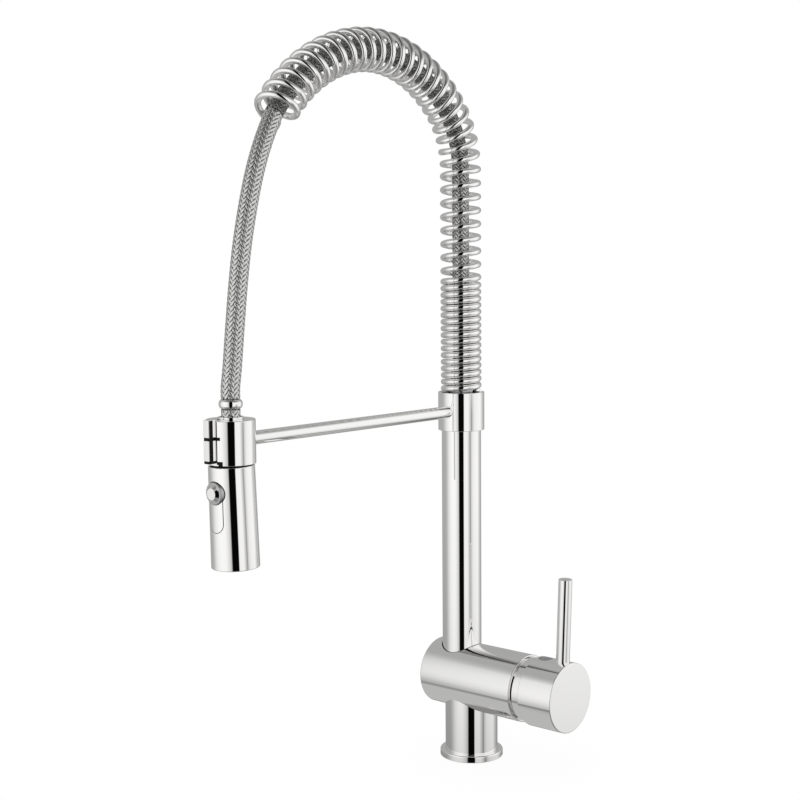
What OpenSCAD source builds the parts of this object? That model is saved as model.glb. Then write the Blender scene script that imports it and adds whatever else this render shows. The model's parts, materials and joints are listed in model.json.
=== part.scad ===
// Spring pull-down kitchen faucet, in millimetres.
// The origin is the centre of the base on the deck. +Z is up, the dock arm
// reaches towards -Y and the handle is at +X.

/* [Base and valve body] */
// Radius of the round base ring on the deck
base_ring_r = 22.5; // [21:0.5:26]
// Height of the base ring's top above the deck
base_ring_top = 4.9; // [3.6:0.1:7]
// Rounding of the base ring's upper edge
base_ring_round = 1; // [0.6:0.1:2]
// Thickness of the rubber gasket under the base ring
gasket_h = 1.2; // [0.8:0.1:1.8]
// How far the gasket stands below the base ring
gasket_proud = 0.3; // [0.2:0.1:0.5]
// Radius of the upright pedestal
pedestal_r = 18.75; // [18.25:0.25:20]
// Height of the barrel's axis above the deck
barrel_z = 57.9; // [56:0.5:80]
// Radius of the lying barrel
barrel_r = 23.55; // [23.2:0.05:24.2]
// Reach of the barrel to the left of the base's centre
barrel_left = 28.7; // [25:0.5:36]
// Reach of the barrel to the right of the base's centre
barrel_right = 51.4; // [50:0.2:60]
// Depth of the fixing stud's thread in the underside
stud_depth = 20; // [14:1:24]
// Core radius of the fixing stud's thread
stud_r = 3.4; // [3:0.1:3.8]
// Core radius of each supply inlet's thread
inlet_r = 4.5; // [4:0.1:4.8]
// Depth of each supply inlet's thread
inlet_depth = 18; // [12:1:22]
// Distance between the two supply inlets
inlet_gap = 17; // [15:0.5:18]

/* [Cartridge] */
// Outer radius of the ceramic cartridge
cartridge_r = 17.5; // [17.3:0.1:17.8]
// Length of the cartridge's wide part
cartridge_len = 27.5; // [26:0.5:28]
// Radius of the cartridge's neck
cartridge_neck_r = 13.6; // [13.2:0.1:14]
// Radius of the turning rotor in the cartridge's neck
rotor_r = 10.45; // [10.2:0.05:10.8]
// Radius of the rotor's pivot pin
rotor_pin_r = 1.5; // [1.2:0.1:1.9]
// Width of the square stem
stem_w = 6.6; // [6:0.1:7]
// Outer radius of the threaded retaining nut
nut_r = 19.6; // [19.2:0.1:19.9]
// Length of the retaining nut along the barrel
nut_len = 7.8; // [6:0.2:7.8]
// Radius of the bright neck ring beside the handle
neck_ring_r = 22.2; // [21.6:0.1:22.3]
// Length of the bright neck ring with its groove
neck_ring_len = 9.3; // [8.8:0.1:9.4]
// Width of the dark groove between the barrel and the neck ring
neck_groove_w = 1.6; // [1:0.2:2.4]

/* [Handle] */
// Outer radius of the handle cap
cap_r = 24.17; // [24.05:0.02:25]
// Wall thickness of the cap's skirt
cap_wall = 1.25; // [1.1:0.05:1.3]
// Distance from the barrel's end to the cap's skirt
cap_start = 8.3; // [8:0.1:9]
// Length of the handle cap
cap_len = 27.3; // [26.5:0.1:34]
// Thickness of the cap's end wall
cap_end_wall = 3; // [2:0.5:5]
// Radius of the lever pin
lever_r = 4.7; // [4:0.1:5.4]
// Height of the lever pin's flat top above the deck
lever_top = 139.8; // [110:0.2:190]
// Distance of the lever pin from the cap's end face
lever_inset = 6.9; // [6.5:0.1:9]
// Lean of the lever pin away from the barrel
lever_lean = 1.9; // [0:0.1:3]
// Radius of the domed index plug
plug_r = 4.75; // [4.2:0.05:5]
// Distance of the index plug from the cap's skirt edge
plug_inset = 6.3; // [5.8:0.1:7]

/* [Riser and spring] */
// Distance of the riser's axis to the left of the base's centre
riser_offset = 8.55; // [7:0.05:9.5]
// Outer radius of the riser tube
riser_r = 14; // [13.8:0.1:14.4]
// Wall of the riser tube
riser_wall = 1.4; // [1:0.1:1.8]
// Depth of the riser's socket below the barrel's top line
socket_depth = 15.4; // [14:0.2:16]
// Height of the collar's lower face above the deck
collar_bottom = 235.7; // [190:0.5:320]
// Height of the collar
collar_h = 27; // [24:0.5:34]
// Radius of the collar
collar_r = 16.4; // [16.1:0.1:18]
// Radius of the spring's wire
wire_r = 2; // [1.7:0.05:2.1]
// Radius of the spring from its axis to the wire's centre
coil_r = 12.5; // [12.2:0.05:12.7]
// Number of curls in the spring
curls = 49.5; // [44:0.1:51]
// Number of closely wound curls at the spring's foot
close_curls = 16.4; // [12:0.2:18]
// Pitch of the closely wound curls
close_pitch = 4.72; // [4.65:0.01:4.9]
// Pitch of the open curls
open_pitch = 9.44; // [9:0.02:9.8]
// Turn angle of the wire where the spring starts, from +X towards +Y
coil_phase = 46; // [0:1:360]
// Radius of the braided hose
hose_r = 6.1; // [5.5:0.1:6.4]
// Height at which the spring leaves the vertical
arch_start = 417; // [390:1:440]
// Radius of the arch's first bend
bend_1_r = 64; // [60:1:70]
// Turn of the arch's first bend
bend_1_turn = 42.5; // [40:0.5:45]
// Radius of the arch's second bend
bend_2_r = 100; // [96:1:104]
// Turn of the arch's second bend
bend_2_turn = 60; // [58:0.5:62]
// Radius of the arch's last bend
bend_3_r = 113; // [110:1:116]

/* [Arm and dock] */
// Distance from the riser's axis to the dock's axis
dock_reach = 218.9; // [212:0.1:226]
// Height of the arm rod's axis above the collar's lower face
arm_rise = 13.5; // [12.4:0.1:14.6]
// Radius of the arm rod
arm_r = 4.25; // [3.5:0.05:5]
// Radius of the dock's sleeve
dock_r = 15.1; // [14.9:0.1:15.6]
// Height of the dock's sleeve
dock_h = 26.9; // [25.5:0.1:29]
// Wall of the dock's metal sleeve
dock_wall = 1.3; // [1.1:0.1:1.4]
// Bore radius of the dock's plastic liner
liner_bore_r = 12.3; // [12.2:0.1:12.8]
// Radius of the hose's hole in the dock's top
dock_hole_r = 8.2; // [8.1:0.1:9]
// Width of the upright rib on the dock's front
rib_w = 4.9; // [4:0.1:5.6]
// Distance of the rib's face from the dock's axis
rib_out = 19.8; // [18.5:0.1:21]
// Height of the upper slot's floor above the dock's foot
slot_rise = 15.3; // [12:0.1:17]
// Width of the upper slot
slot_w = 2; // [1.6:0.1:3.2]

/* [Spray head] */
// Gap between the dock and the spray head
head_gap = 0.9; // [0.6:0.1:1.6]
// Radius of the spray head at its top
head_top_r = 14.2; // [14.1:0.1:14.6]
// Radius of the spray head at its foot
head_foot_r = 14.9; // [14.7:0.1:15.6]
// Length of the spray head below the dock
head_len = 63; // [60:0.5:80]
// Wall of the spray head's shell
head_wall = 1.4; // [1.3:0.1:1.6]
// Tilt of the hanging head, its foot towards the riser
head_tilt = 1.85; // [0:0.05:2]
// Radius of the neck that sits in the dock
neck_r = 11.4; // [11:0.1:11.6]
// Height of the neck above the head's top
neck_h = 17.5; // [14:0.5:18]
// Radius of the swivel nut in the neck
hose_nut_r = 8; // [7.7:0.1:8.2]
// Depth of the button's centre below the head's top
button_drop = 15.6; // [15:0.1:16.5]
// Radius of the button's flat face
button_face_r = 2.9; // [2:0.1:3.2]
// Outer radius of the button's bezel
bezel_r = 6.9; // [6.6:0.1:7.4]
// Distance of the bezel's face from the head's axis
bezel_out = 15.5; // [15.3:0.1:16]
// Distance of the button's face from the head's axis
button_out = 17.2; // [17:0.1:18]
// Half width of the long inlay below the button
inlay_r = 5.5; // [4.5:0.1:6]
// Depth of the inlay's lower end below the head's top
inlay_drop = 39.6; // [34:0.2:46]
// Radius of the crimped bead above the dock
bead_r = 7.3; // [6.9:0.1:7.5]
// Height of the crimped bead
bead_h = 6.4; // [5.4:0.1:7]
// Height of the bead's foot above the dock's top
bead_rise = 5.9; // [5.5:0.1:8]

/* [Fits] */
// Radial clearance of a running fit
run_fit = 0.05; // [0.03:0.01:0.08]
// Radial clearance of a seated piece
seat_fit = 0.02; // [0.01:0.01:0.04]
// Gap between curved faces that pass each other
pass_gap = 0.3; // [0.25:0.05:0.4]

/* [Hidden] */
$fn = 96;

chrome = [0.82, 0.83, 0.85];
steel = [0.66, 0.67, 0.69];
brass = [0.78, 0.66, 0.36];
black = [0.07, 0.07, 0.08];
rubber = [0.13, 0.13, 0.13];
ceramic = [0.93, 0.92, 0.88];
white_plastic = [0.85, 0.85, 0.82];
grey = [0.55, 0.56, 0.58];

edge = 0.5;
eps = 0.5;
gasket_r = base_ring_r - 2.5;
gasket_play = 0.2;
riser_x = -riser_offset;

// Holes in the underside and the water passages
stud_x = -9;
inlet_x = 6;
water_hole_r = 3;
passage_z = barrel_z - 8;

// Riser socket in the barrel
socket_z = barrel_z + barrel_r - socket_depth;
washer_h = 1;
riser_foot = socket_z + washer_h + run_fit;
bush_len = 16;
bush_z = socket_z - bush_len;
bush_r = 12;
spigot_r = 9.5;
spigot_bore_r = 6.3;
chamber_r = 8;
chamber_h = 12;
lock_z = bush_z + 7.9;
lock_r = 2.5;
lock_groove_r = 7.9;
lock_groove_h = 6;
key_r = 1.4;
key_depth = 2.5;
seal_r = 0.65;

// Cartridge places along the barrel
pocket_x = 14;
disc_chamber_r = 14.5;
base_plate_h = 4;
port_place = 8;
port_r = 2.4;
port_seat_r = 3.9;
seal_h = 1;
disc_h = 3.5;
disc_x = pocket_x + base_plate_h;
moving_disc_x = disc_x + disc_h + run_fit;
moving_disc_r = 9;
carrier_x = moving_disc_x + disc_h;
carrier_plate_h = 2;
rotor_x = carrier_x + carrier_plate_h + pass_gap;
rotor_flange_h = 6;
neck_wall_x = rotor_x + rotor_flange_h + run_fit;
cartridge_end_x = pocket_x + cartridge_len;
pivot_x = barrel_right;
cartridge_tip_x = pivot_x + 3.1;
slot_half = stem_w / 2 + pass_gap;
tail_reach = 14;
tail_ball_r = 2.6;
tail_r = 1.3;
post_half_y = 3.4;
post_half_z = 4.2;
post_end_x = pivot_x - tail_reach + 2.6;
disc_travel = 5.3;
nut_x = cartridge_end_x + 0.05;
nut_bore_r = cartridge_neck_r + pass_gap;
neck_ring_bore_r = 18.4;
groove_r = 20.8;
neck_ring_x = barrel_right + neck_ring_len;

// Handle places along the barrel
cap_x = barrel_right + cap_start;
cap_end_x = cap_x + cap_len;
cap_inner_r = cap_r - cap_wall;
hub_r = 11;
hub_x = cap_x + 2.8;
stem_end_x = cap_end_x - cap_end_wall - 5;
socket_w = stem_w + 2 * run_fit;
plug_x = cap_x + plug_inset;
plug_dome = 0.9;
plug_deep = 3;
grub_r = 2.5;
grub_boss_r = 4.4;
lever_x = cap_end_x - lever_inset;
lever_boss_r = 6.4;
lever_foot = 14;

// Riser, collar and hose
collar_top = collar_bottom + collar_h;
collar_bore_r = riser_r + seat_fit;
riser_recess = 10.7;
riser_top = collar_top - riser_recess;
riser_bore_r = riser_r - riser_wall;
plug_len = 18;
collar_screw_z = collar_bottom + 8;
collar_screw_r = 2;
spring_seat_r = 15.2;
spring_seat_depth = 2;
nipple_r = 9;
nipple_plug_len = 14;
nipple_bore_r = 3.2;
spring_spigot_r = 9.3;
spring_spigot_h = 5.3;
barb_r = 4.2;
barb_len = 8;
crimp_r = 7.4;
crimp_len = 16;
hose_foot = collar_top + spring_spigot_h;
spring_foot = collar_top - spring_seat_depth + wire_r + run_fit;
curl_rings = 8;
wire_sides = 6;
hose_sides = 16;
hose_rings = 48;

// Arm, dock and spray head
arm_z = collar_bottom + arm_rise;
dock_y = -dock_reach;
dock_foot = collar_bottom - 0.2;
dock_top = dock_foot + dock_h;
dock_bore_r = dock_r - dock_wall;
dock_roof = 1.4;
liner_r = dock_bore_r - seat_fit;
slot_back = dock_bore_r - 0.2;
notch_in = rib_w / 2 + 0.95;
notch_out = 7.2;
notch_deep = 7;
notch_h = 2.7;
rib_foot = 1.5;
foot_h = 1.7;
foot_recess = 0.1;
rail_t = 0.8;
rail_in = dock_r + 1.3;
rail_out = rib_out - 0.5;
rail_foot = rib_foot + foot_h;
rail_top = dock_h - 0.5;
window_half = rib_w / 2 - 0.6;
tongue_recess = 0.5;
rib_round = 0.5;
head_z = dock_foot - head_gap;
hose_end_y = dock_y + 0.3;
bead_z = dock_top + bead_rise;
bead_round = 2.6;
neck_hole_r = neck_r + seat_fit;
neck_flange_h = 6.5;
neck_floor_h = 1;
nut_foot = -6;
nut_h = 16;
washer_gap = 0.9;
water_top = -head_wall - neck_flange_h - 0.05;
water_len = 22;
water_r = 10.8;
valve_len = 8;
valve_r = 9;
outlet_r = 6;
outlet_bore_r = 4.5;
aerator_r = 7;
aerator_len = 10;
plate_h = 3;
inlay_depth = 0.8;
inlay_gap = 0.25;
bezel_in = 12.1;
button_cone = 1.85;
button_cone_h = 2.1;
button_r = button_face_r + button_cone + 0.55;
button_in = 13.1;
stem_pin_r = 1.8;
stem_pin_in = 3.5;
button_travel = 2;

// Route of the free hose from the spring's end to the bead, chosen by hand, as [y, z]
hose_route = [
    [-188, 430], [-195, 413], [-201, 393], [-207, 367],
    [-211, 342], [-214, 318], [-217, 292]
];

// Points of an arc about a centre, for rounded profiles
function arc(centre, r, a0, a1, steps = 8) =
    [for (i = [0:steps]) centre + r * [cos(a0 + (a1 - a0) * i / steps), sin(a0 + (a1 - a0) * i / steps)]];

// Places a shape made along +Z along +X at the barrel's axis, starting at x
module on_barrel(x) {
    translate([x, 0, barrel_z]) rotate([0, 90, 0]) children();
}

// Places a shape in the spray head's own frame, with its origin at the head's top
module on_head() {
    translate([riser_x, dock_y, head_z]) rotate([head_tilt, 0, 0]) children();
}

// Points a shape made along +Z towards the head's front, at the button's height
module on_button() {
    translate([0, 0, -button_drop]) rotate([90, 0, 0]) children();
}

module ring(outer_r, inner_r, h) {
    rotate_extrude() translate([inner_r, 0]) square([outer_r - inner_r, h]);
}

// A cylinder with chamfered ends
module bar(r, h, foot_edge = edge, top_edge = edge) {
    rotate_extrude() polygon([
        [0, 0], [r - foot_edge, 0], [r, foot_edge], [r, h - top_edge], [r - top_edge, h], [0, h]
    ]);
}

// A tube of the given sides swept along points in space, with flat ends
module swept(points, r, sides) {
    count = len(points);
    tangents = [for (i = [0:count - 1])
        let (d = points[min(i + 1, count - 1)] - points[max(i - 1, 0)]) d / norm(d)];
    skin = [for (i = [0:count - 1], k = [0:sides - 1])
        let (side = [1, 0, 0], up = cross(tangents[i], side) / norm(cross(tangents[i], side)))
        let (across = cross(up, tangents[i]), a = 360 * k / sides)
        points[i] + r * (cos(a) * across + sin(a) * up)];
    tube_mesh(skin, count, sides);
}

// Closes rings of points, each with the same sides, into one tube of triangles
module tube_mesh(skin, count, sides) {
    walls = [for (i = [0:count - 2], k = [0:sides - 1])
        let (a = i * sides + k, b = i * sides + (k + 1) % sides)
        each [[a, b + sides, b], [a, a + sides, b + sides]]];
    foot = [for (k = [1:sides - 2]) [0, k, k + 1]];
    last = (count - 1) * sides;
    top = [for (k = [1:sides - 2]) [last, last + k + 1, last + k]];
    polyhedron(points = skin, faces = concat(walls, foot, top));
}

// Centre line of the spring and the hose inside it
straight_len = arch_start - collar_top;
bend_1_len = bend_1_r * bend_1_turn * PI / 180;
bend_2_len = bend_2_r * bend_2_turn * PI / 180;

// Angle from the vertical after a length s of the centre line above the collar
function lean_at(s) =
    s < straight_len ? 0
    : s < straight_len + bend_1_len ? (s - straight_len) / bend_1_r * 180 / PI
    : s < straight_len + bend_1_len + bend_2_len
        ? bend_1_turn + (s - straight_len - bend_1_len) / bend_2_r * 180 / PI
    : bend_1_turn + bend_2_turn + (s - straight_len - bend_1_len - bend_2_len) / bend_3_r * 180 / PI;

// Step [y, z] round a bend of radius r from one lean to another
function bend_step(r, from, to) = r * [cos(to) - cos(from), sin(to) - sin(from)];

bend_1_end = [0, arch_start] + bend_step(bend_1_r, 0, bend_1_turn);
bend_2_end = bend_1_end + bend_step(bend_2_r, bend_1_turn, bend_1_turn + bend_2_turn);

// Point [y, z] of the centre line after a length s above the collar
function line_at(s) =
    s < straight_len ? [0, collar_top + s]
    : s < straight_len + bend_1_len ? [0, arch_start] + bend_step(bend_1_r, 0, lean_at(s))
    : s < straight_len + bend_1_len + bend_2_len
        ? bend_1_end + bend_step(bend_2_r, bend_1_turn, lean_at(s))
    : bend_2_end + bend_step(bend_3_r, bend_1_turn + bend_2_turn, lean_at(s));

// Length climbed by the spring's wire after t curls
function climb(t) =
    let (u = t - close_curls)
    close_pitch * t + (open_pitch - close_pitch) * (u < 0 ? 0 : u < 1 ? u * u / 2 : u - 0.5);

spring_climb_start = spring_foot - collar_top;
spring_len = spring_climb_start + climb(curls);
tip = line_at(spring_len);
tip_lean = lean_at(spring_len);

// Outward direction from the centre line at a lean and a turn angle
function outward(lean, turn) = [cos(turn), sin(turn) * cos(lean), sin(turn) * sin(lean)];

// Centre of the spring's wire after t curls
function wire_at(t) =
    let (s = spring_climb_start + climb(t), p = line_at(s))
    [riser_x, p[0], p[1]] + coil_r * outward(lean_at(s), coil_phase + 360 * t);

// Unit direction of the spring's wire after t curls
function wire_way(t) =
    let (d = wire_at(min(t + 0.01, curls)) - wire_at(max(t - 0.01, 0))) d / norm(d);

// One ring of the wire's corners about a centre, square to its way
function wire_ring(centre, way, out) =
    let (flat = out - (out * way) * way, across = flat / norm(flat), up = cross(way, across))
    [for (k = [0:wire_sides - 1])
        let (a = 360 * k / wire_sides) centre + wire_r * (cos(a) * across + sin(a) * up)];

function wire_out(t) =
    let (s = spring_climb_start + climb(t)) outward(lean_at(s), coil_phase + 360 * t);

wire_steps = round(curls * curl_rings);
wire_turns = [for (i = [0:wire_steps]) i * curls / wire_steps];
wire_rings = concat(
    [wire_ring(wire_at(0) - 2 * wire_r * wire_way(0), wire_way(0), wire_out(0))],
    [for (t = wire_turns) wire_ring(wire_at(t), wire_way(t), wire_out(t))],
    [wire_ring(wire_at(curls) + 2 * wire_r * wire_way(curls), wire_way(curls), wire_out(curls))]
);

// Least gap between the wire's corners one curl apart, measured on its points
wire_gaps = [for (i = [0:wire_steps - curl_rings + 1])
    min([for (j = [curl_rings - 1:curl_rings + 1], p = wire_rings[i + 1])
        for (q = wire_rings[min(i + 1 + j, wire_steps + 1)]) norm(p - q)])];
echo(spring_least_gap = min(wire_gaps));

// Base and valve body
module base_gasket() {
    color(rubber) ring(gasket_r, pedestal_r + gasket_play, gasket_h);
}

module base_ring() {
    color(chrome) difference() {
        rotate_extrude() polygon(concat(
            [[pedestal_r + run_fit, gasket_proud], [base_ring_r - edge, gasket_proud],
                [base_ring_r, gasket_proud + edge]],
            arc([base_ring_r - base_ring_round, base_ring_top - base_ring_round], base_ring_round, 0, 90),
            [[pedestal_r + run_fit, base_ring_top]]
        ));
        translate([0, 0, gasket_proud - eps])
            cylinder(r = gasket_r + gasket_play, h = gasket_h - gasket_proud + eps);
    }
}

module valve_body() {
    color(chrome) difference() {
        union() {
            cylinder(r = pedestal_r, h = barrel_z);
            on_barrel(-barrel_left) rotate_extrude() polygon(concat(
                [[0, 0]],
                arc([barrel_r - 0.8, 0.8], 0.8, -90, 0),
                [[barrel_r, barrel_left + barrel_right - 0.8], [barrel_r - 0.8, barrel_left + barrel_right],
                    [0, barrel_left + barrel_right]]
            ));
        }
        // Cartridge pocket with the nut's wider thread at its mouth
        on_barrel(pocket_x) cylinder(r = cartridge_r + run_fit, h = barrel_right);
        on_barrel(cartridge_end_x) cylinder(r = nut_r + run_fit, h = barrel_right);
        // Riser socket, bush seat and water chamber
        translate([riser_x, 0, socket_z]) cylinder(r = riser_r + pass_gap, h = barrel_r);
        translate([riser_x, 0, bush_z]) cylinder(r = bush_r, h = bush_len + eps);
        translate([riser_x, 0, bush_z - chamber_h]) cylinder(r = chamber_r, h = chamber_h + eps);
        // Passage from the cartridge to the chamber
        translate([riser_x, 0, bush_z - chamber_h / 2]) rotate([0, 90, 0])
            cylinder(r = water_hole_r, h = pocket_x - riser_x + eps);
        // Supply inlets and their passages to the cartridge
        for (side = [-1, 1]) translate([inlet_x, side * inlet_gap / 2, -eps]) {
            cylinder(r = inlet_r, h = inlet_depth + eps);
            cylinder(r = water_hole_r, h = passage_z + water_hole_r + eps);
            translate([0, 0, passage_z + eps]) rotate([0, 90, 0])
                cylinder(r = water_hole_r, h = pocket_x - inlet_x + eps);
        }
        // Fixing stud's thread
        translate([stud_x, 0, -eps]) cylinder(r = stud_r, h = stud_depth + eps);
        // Lock screw's thread from the back
        translate([riser_x, barrel_r + eps, lock_z]) rotate([90, 0, 0])
            cylinder(r = lock_r + seat_fit, h = barrel_r);
    }
}

module riser_bush() {
    color(black) translate([riser_x, 0, 0]) difference() {
        translate([0, 0, bush_z]) ring(bush_r - seat_fit, spigot_r + run_fit, bush_len);
        translate([0, barrel_r, lock_z]) rotate([90, 0, 0]) cylinder(r = lock_r + 0.2, h = barrel_r);
    }
}

module swivel_washer() {
    color(black) translate([riser_x, 0, socket_z]) ring(riser_r, spigot_r + pass_gap, washer_h);
}

module riser_screw() {
    color(steel) translate([riser_x, barrel_r - 0.9, lock_z]) rotate([90, 0, 0]) difference() {
        bar(lock_r, barrel_r - 0.9 - lock_groove_r - pass_gap);
        translate([0, 0, -eps]) cylinder(r = key_r, h = key_depth + eps, $fn = 6);
    }
}

// Cartridge
module cartridge_body() {
    color(white_plastic) difference() {
        union() {
            on_barrel(pocket_x) cylinder(r = cartridge_r, h = cartridge_len);
            on_barrel(cartridge_end_x - eps)
                cylinder(r = cartridge_neck_r, h = cartridge_tip_x - cartridge_end_x + eps);
        }
        on_barrel(disc_x) cylinder(r = disc_chamber_r, h = neck_wall_x - disc_x);
        on_barrel(neck_wall_x - eps) cylinder(r = rotor_r + run_fit, h = barrel_right);
        for (a = [90, 210, 330]) on_barrel(pocket_x - eps) rotate([0, 0, a]) translate([port_place, 0, 0]) {
            cylinder(r = port_r, h = base_plate_h + 2 * eps);
            cylinder(r = port_seat_r, h = seal_h + eps);
        }
    }
}

module cartridge_seals() {
    color(rubber) for (a = [90, 210, 330]) on_barrel(pocket_x) rotate([0, 0, a])
        translate([port_place, 0, 0]) ring(port_seat_r - 0.2, port_r + 0.2, seal_h);
}

module ceramic_disc_fixed() {
    color(ceramic) difference() {
        on_barrel(disc_x) cylinder(r = disc_chamber_r - run_fit, h = disc_h);
        for (a = [90, 210, 330]) on_barrel(disc_x - eps) rotate([0, 0, a])
            translate([port_place, 0, 0]) cylinder(r = port_r, h = disc_h + 2 * eps);
    }
}

module cartridge_nut() {
    color(brass) difference() {
        on_barrel(nut_x) bar(nut_r, nut_len);
        on_barrel(nut_x - eps) cylinder(r = nut_bore_r, h = nut_len + 2 * eps);
        for (a = [0, 90]) on_barrel(nut_x + nut_len - 2) rotate([0, 0, a]) translate([-1.5, -nut_r, 0])
            cube([3, 2 * nut_r, 2 + eps]);
    }
}

module neck_ring() {
    foot = nut_x + nut_len - barrel_right;
    color(chrome) on_barrel(barrel_right) rotate_extrude() polygon(concat(
        [[neck_ring_bore_r, foot], [nut_r, foot], [nut_r, 0], [groove_r, 0], [groove_r, neck_groove_w],
            [neck_ring_r - 0.3, neck_groove_w], [neck_ring_r, neck_groove_w + 0.3]],
        arc([neck_ring_r - 0.8, neck_ring_len - 0.8], 0.8, 0, 90),
        [[neck_ring_bore_r, neck_ring_len]]
    ));
}

module cartridge_rotor() {
    color(white_plastic) difference() {
        union() {
            on_barrel(rotor_x) cylinder(r = disc_chamber_r - run_fit, h = rotor_flange_h);
            on_barrel(rotor_x) cylinder(r = rotor_r, h = cartridge_tip_x - rotor_x);
        }
        // Slot in which the stem tilts, and the window of the disc carrier's post
        translate([post_end_x - 3, -slot_half, barrel_z - rotor_r - eps])
            cube([barrel_right, 2 * slot_half, 2 * rotor_r + 2 * eps]);
        translate([rotor_x - eps, -post_half_y - pass_gap, barrel_z - post_half_z - pass_gap])
            cube([
                post_end_x - rotor_x, 2 * (post_half_y + pass_gap), 2 * (post_half_z + pass_gap) + disc_travel
            ]);
        translate([pivot_x, rotor_r, barrel_z]) rotate([90, 0, 0])
            cylinder(r = rotor_pin_r + seat_fit, h = 2 * rotor_r);
    }
}

module rotor_pin() {
    color(steel) translate([pivot_x, rotor_r - 0.6, barrel_z]) rotate([90, 0, 0])
        bar(rotor_pin_r, 2 * (rotor_r - 0.6), 0.3, 0.3);
}

module disc_carrier() {
    slot_start = pivot_x - tail_reach - tail_ball_r - pass_gap;
    color(black) difference() {
        union() {
            on_barrel(carrier_x) cylinder(r = moving_disc_r, h = carrier_plate_h);
            translate([carrier_x, -post_half_y, barrel_z - post_half_z])
                cube([post_end_x - carrier_x, 2 * post_half_y, 2 * post_half_z]);
        }
        translate([slot_start, -post_half_y - eps, barrel_z - tail_ball_r - pass_gap])
            cube([post_end_x, 2 * (post_half_y + eps), 2 * (tail_ball_r + pass_gap)]);
    }
}

module ceramic_disc_moving() {
    color(ceramic) difference() {
        on_barrel(moving_disc_x) cylinder(r = moving_disc_r, h = disc_h);
        on_barrel(moving_disc_x - eps) cylinder(r = 4.5, h = 1.5 + eps);
    }
}

// Handle
module cartridge_stem() {
    color(brass) difference() {
        union() {
            translate([pivot_x - 5, -stem_w / 2, barrel_z - stem_w / 2])
                cube([stem_end_x - pivot_x + 5, stem_w, stem_w]);
            on_barrel(pivot_x - tail_reach) cylinder(r = tail_r, h = tail_reach - 4);
            translate([pivot_x - tail_reach, 0, barrel_z]) sphere(r = tail_ball_r, $fn = 48);
        }
        translate([pivot_x, stem_w, barrel_z]) rotate([90, 0, 0])
            cylinder(r = rotor_pin_r + run_fit, h = 2 * stem_w);
    }
}

module handle_cap() {
    color(chrome) difference() {
        union() {
            difference() {
                on_barrel(cap_x) bar(cap_r, cap_len, 0.3, 0.6);
                on_barrel(cap_x - eps) cylinder(r = cap_inner_r, h = cap_len - cap_end_wall + eps);
            }
            on_barrel(hub_x) cylinder(r = hub_r, h = cap_end_x - cap_end_wall - hub_x + eps);
            translate([plug_x, 0, barrel_z]) cylinder(r = grub_boss_r, h = cap_inner_r + 0.2);
            translate([lever_x, 0, barrel_z]) cylinder(r = lever_boss_r, h = cap_inner_r + 0.2);
        }
        translate([cap_x - eps, -socket_w / 2, barrel_z - socket_w / 2])
            cube([stem_end_x - cap_x + 1 + eps, socket_w, socket_w]);
        // Grub screw's thread with the index plug's wider seat, and the lever pin's hole
        translate([plug_x, 0, barrel_z]) cylinder(r = grub_r + seat_fit, h = cap_r + eps);
        translate([plug_x, 0, barrel_z + cap_r - plug_deep])
            cylinder(r = plug_r + seat_fit, h = plug_deep + eps);
        lever_place() cylinder(r = lever_r + seat_fit, h = cap_r);
    }
}

module handle_screw() {
    foot = barrel_z + stem_w / 2;
    len = cap_r - plug_deep - 0.5 - stem_w / 2;
    color(steel) translate([plug_x, 0, foot]) difference() {
        bar(grub_r, len);
        translate([0, 0, len - key_depth]) cylinder(r = key_r, h = key_depth + eps, $fn = 6);
    }
}

module index_plug() {
    dome_r = (plug_r * plug_r + plug_dome * plug_dome) / (2 * plug_dome);
    rim = cap_r - plug_r * plug_r / (2 * cap_r);
    reach = asin(plug_r / dome_r);
    color(grey) translate([plug_x, 0, barrel_z]) rotate_extrude() polygon(concat(
        [[0, cap_r - plug_deep], [plug_r, cap_r - plug_deep]],
        arc([0, rim + plug_dome - dome_r], dome_r, 90 - reach, 90)
    ));
}

// Places a shape at the lever pin's foot, along its lean
module lever_place() {
    translate([lever_x, 0, barrel_z + lever_foot]) rotate([0, lever_lean, 0]) children();
}

module lever_pin() {
    len = (lever_top - barrel_z - lever_foot) / cos(lever_lean);
    color(chrome) lever_place() bar(lever_r, len, 0.4, 0.35);
}

// Riser
module riser_spigot() {
    color(brass) translate([riser_x, 0, 0]) difference() {
        union() {
            translate([0, 0, bush_z + 1]) cylinder(r = spigot_r, h = riser_foot - bush_z);
            translate([0, 0, riser_foot]) bar(riser_bore_r - seat_fit, plug_len);
        }
        cylinder(r = spigot_bore_r, h = riser_foot + plug_len + eps);
        translate([0, 0, lock_z - lock_groove_h / 2]) ring(spigot_r + eps, lock_groove_r, lock_groove_h);
        for (z = [bush_z + 1.7, socket_z - 2.4]) translate([0, 0, z])
            ring(spigot_r + eps, spigot_r - 2 * seal_r, 2 * seal_r);
    }
}

module riser_seals() {
    color(rubber) for (z = [bush_z + 1.7, socket_z - 2.4]) translate([riser_x, 0, z + seal_r])
        rotate_extrude() translate([spigot_r - seal_r, 0]) circle(r = seal_r - 0.01, $fn = 24);
}

module riser_tube() {
    color(chrome) translate([riser_x, 0, riser_foot]) ring(riser_r, riser_bore_r, riser_top - riser_foot);
}

module collar() {
    color(chrome) translate([riser_x, 0, 0]) difference() {
        translate([0, 0, collar_bottom]) bar(collar_r, collar_h);
        translate([0, 0, collar_bottom - eps])
            cylinder(r = collar_bore_r, h = riser_top - collar_bottom + eps);
        cylinder(r = nipple_r + seat_fit, h = collar_top + eps);
        translate([0, 0, collar_top - spring_seat_depth])
            cylinder(r = spring_seat_r, h = spring_seat_depth + eps);
        translate([0, -collar_bore_r + eps, arm_z]) rotate([90, 0, 0])
            cylinder(r = arm_r + seat_fit, h = collar_r);
        translate([0, collar_bore_r - eps, collar_screw_z]) rotate([-90, 0, 0])
            cylinder(r = collar_screw_r + seat_fit, h = collar_r);
    }
}

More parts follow.
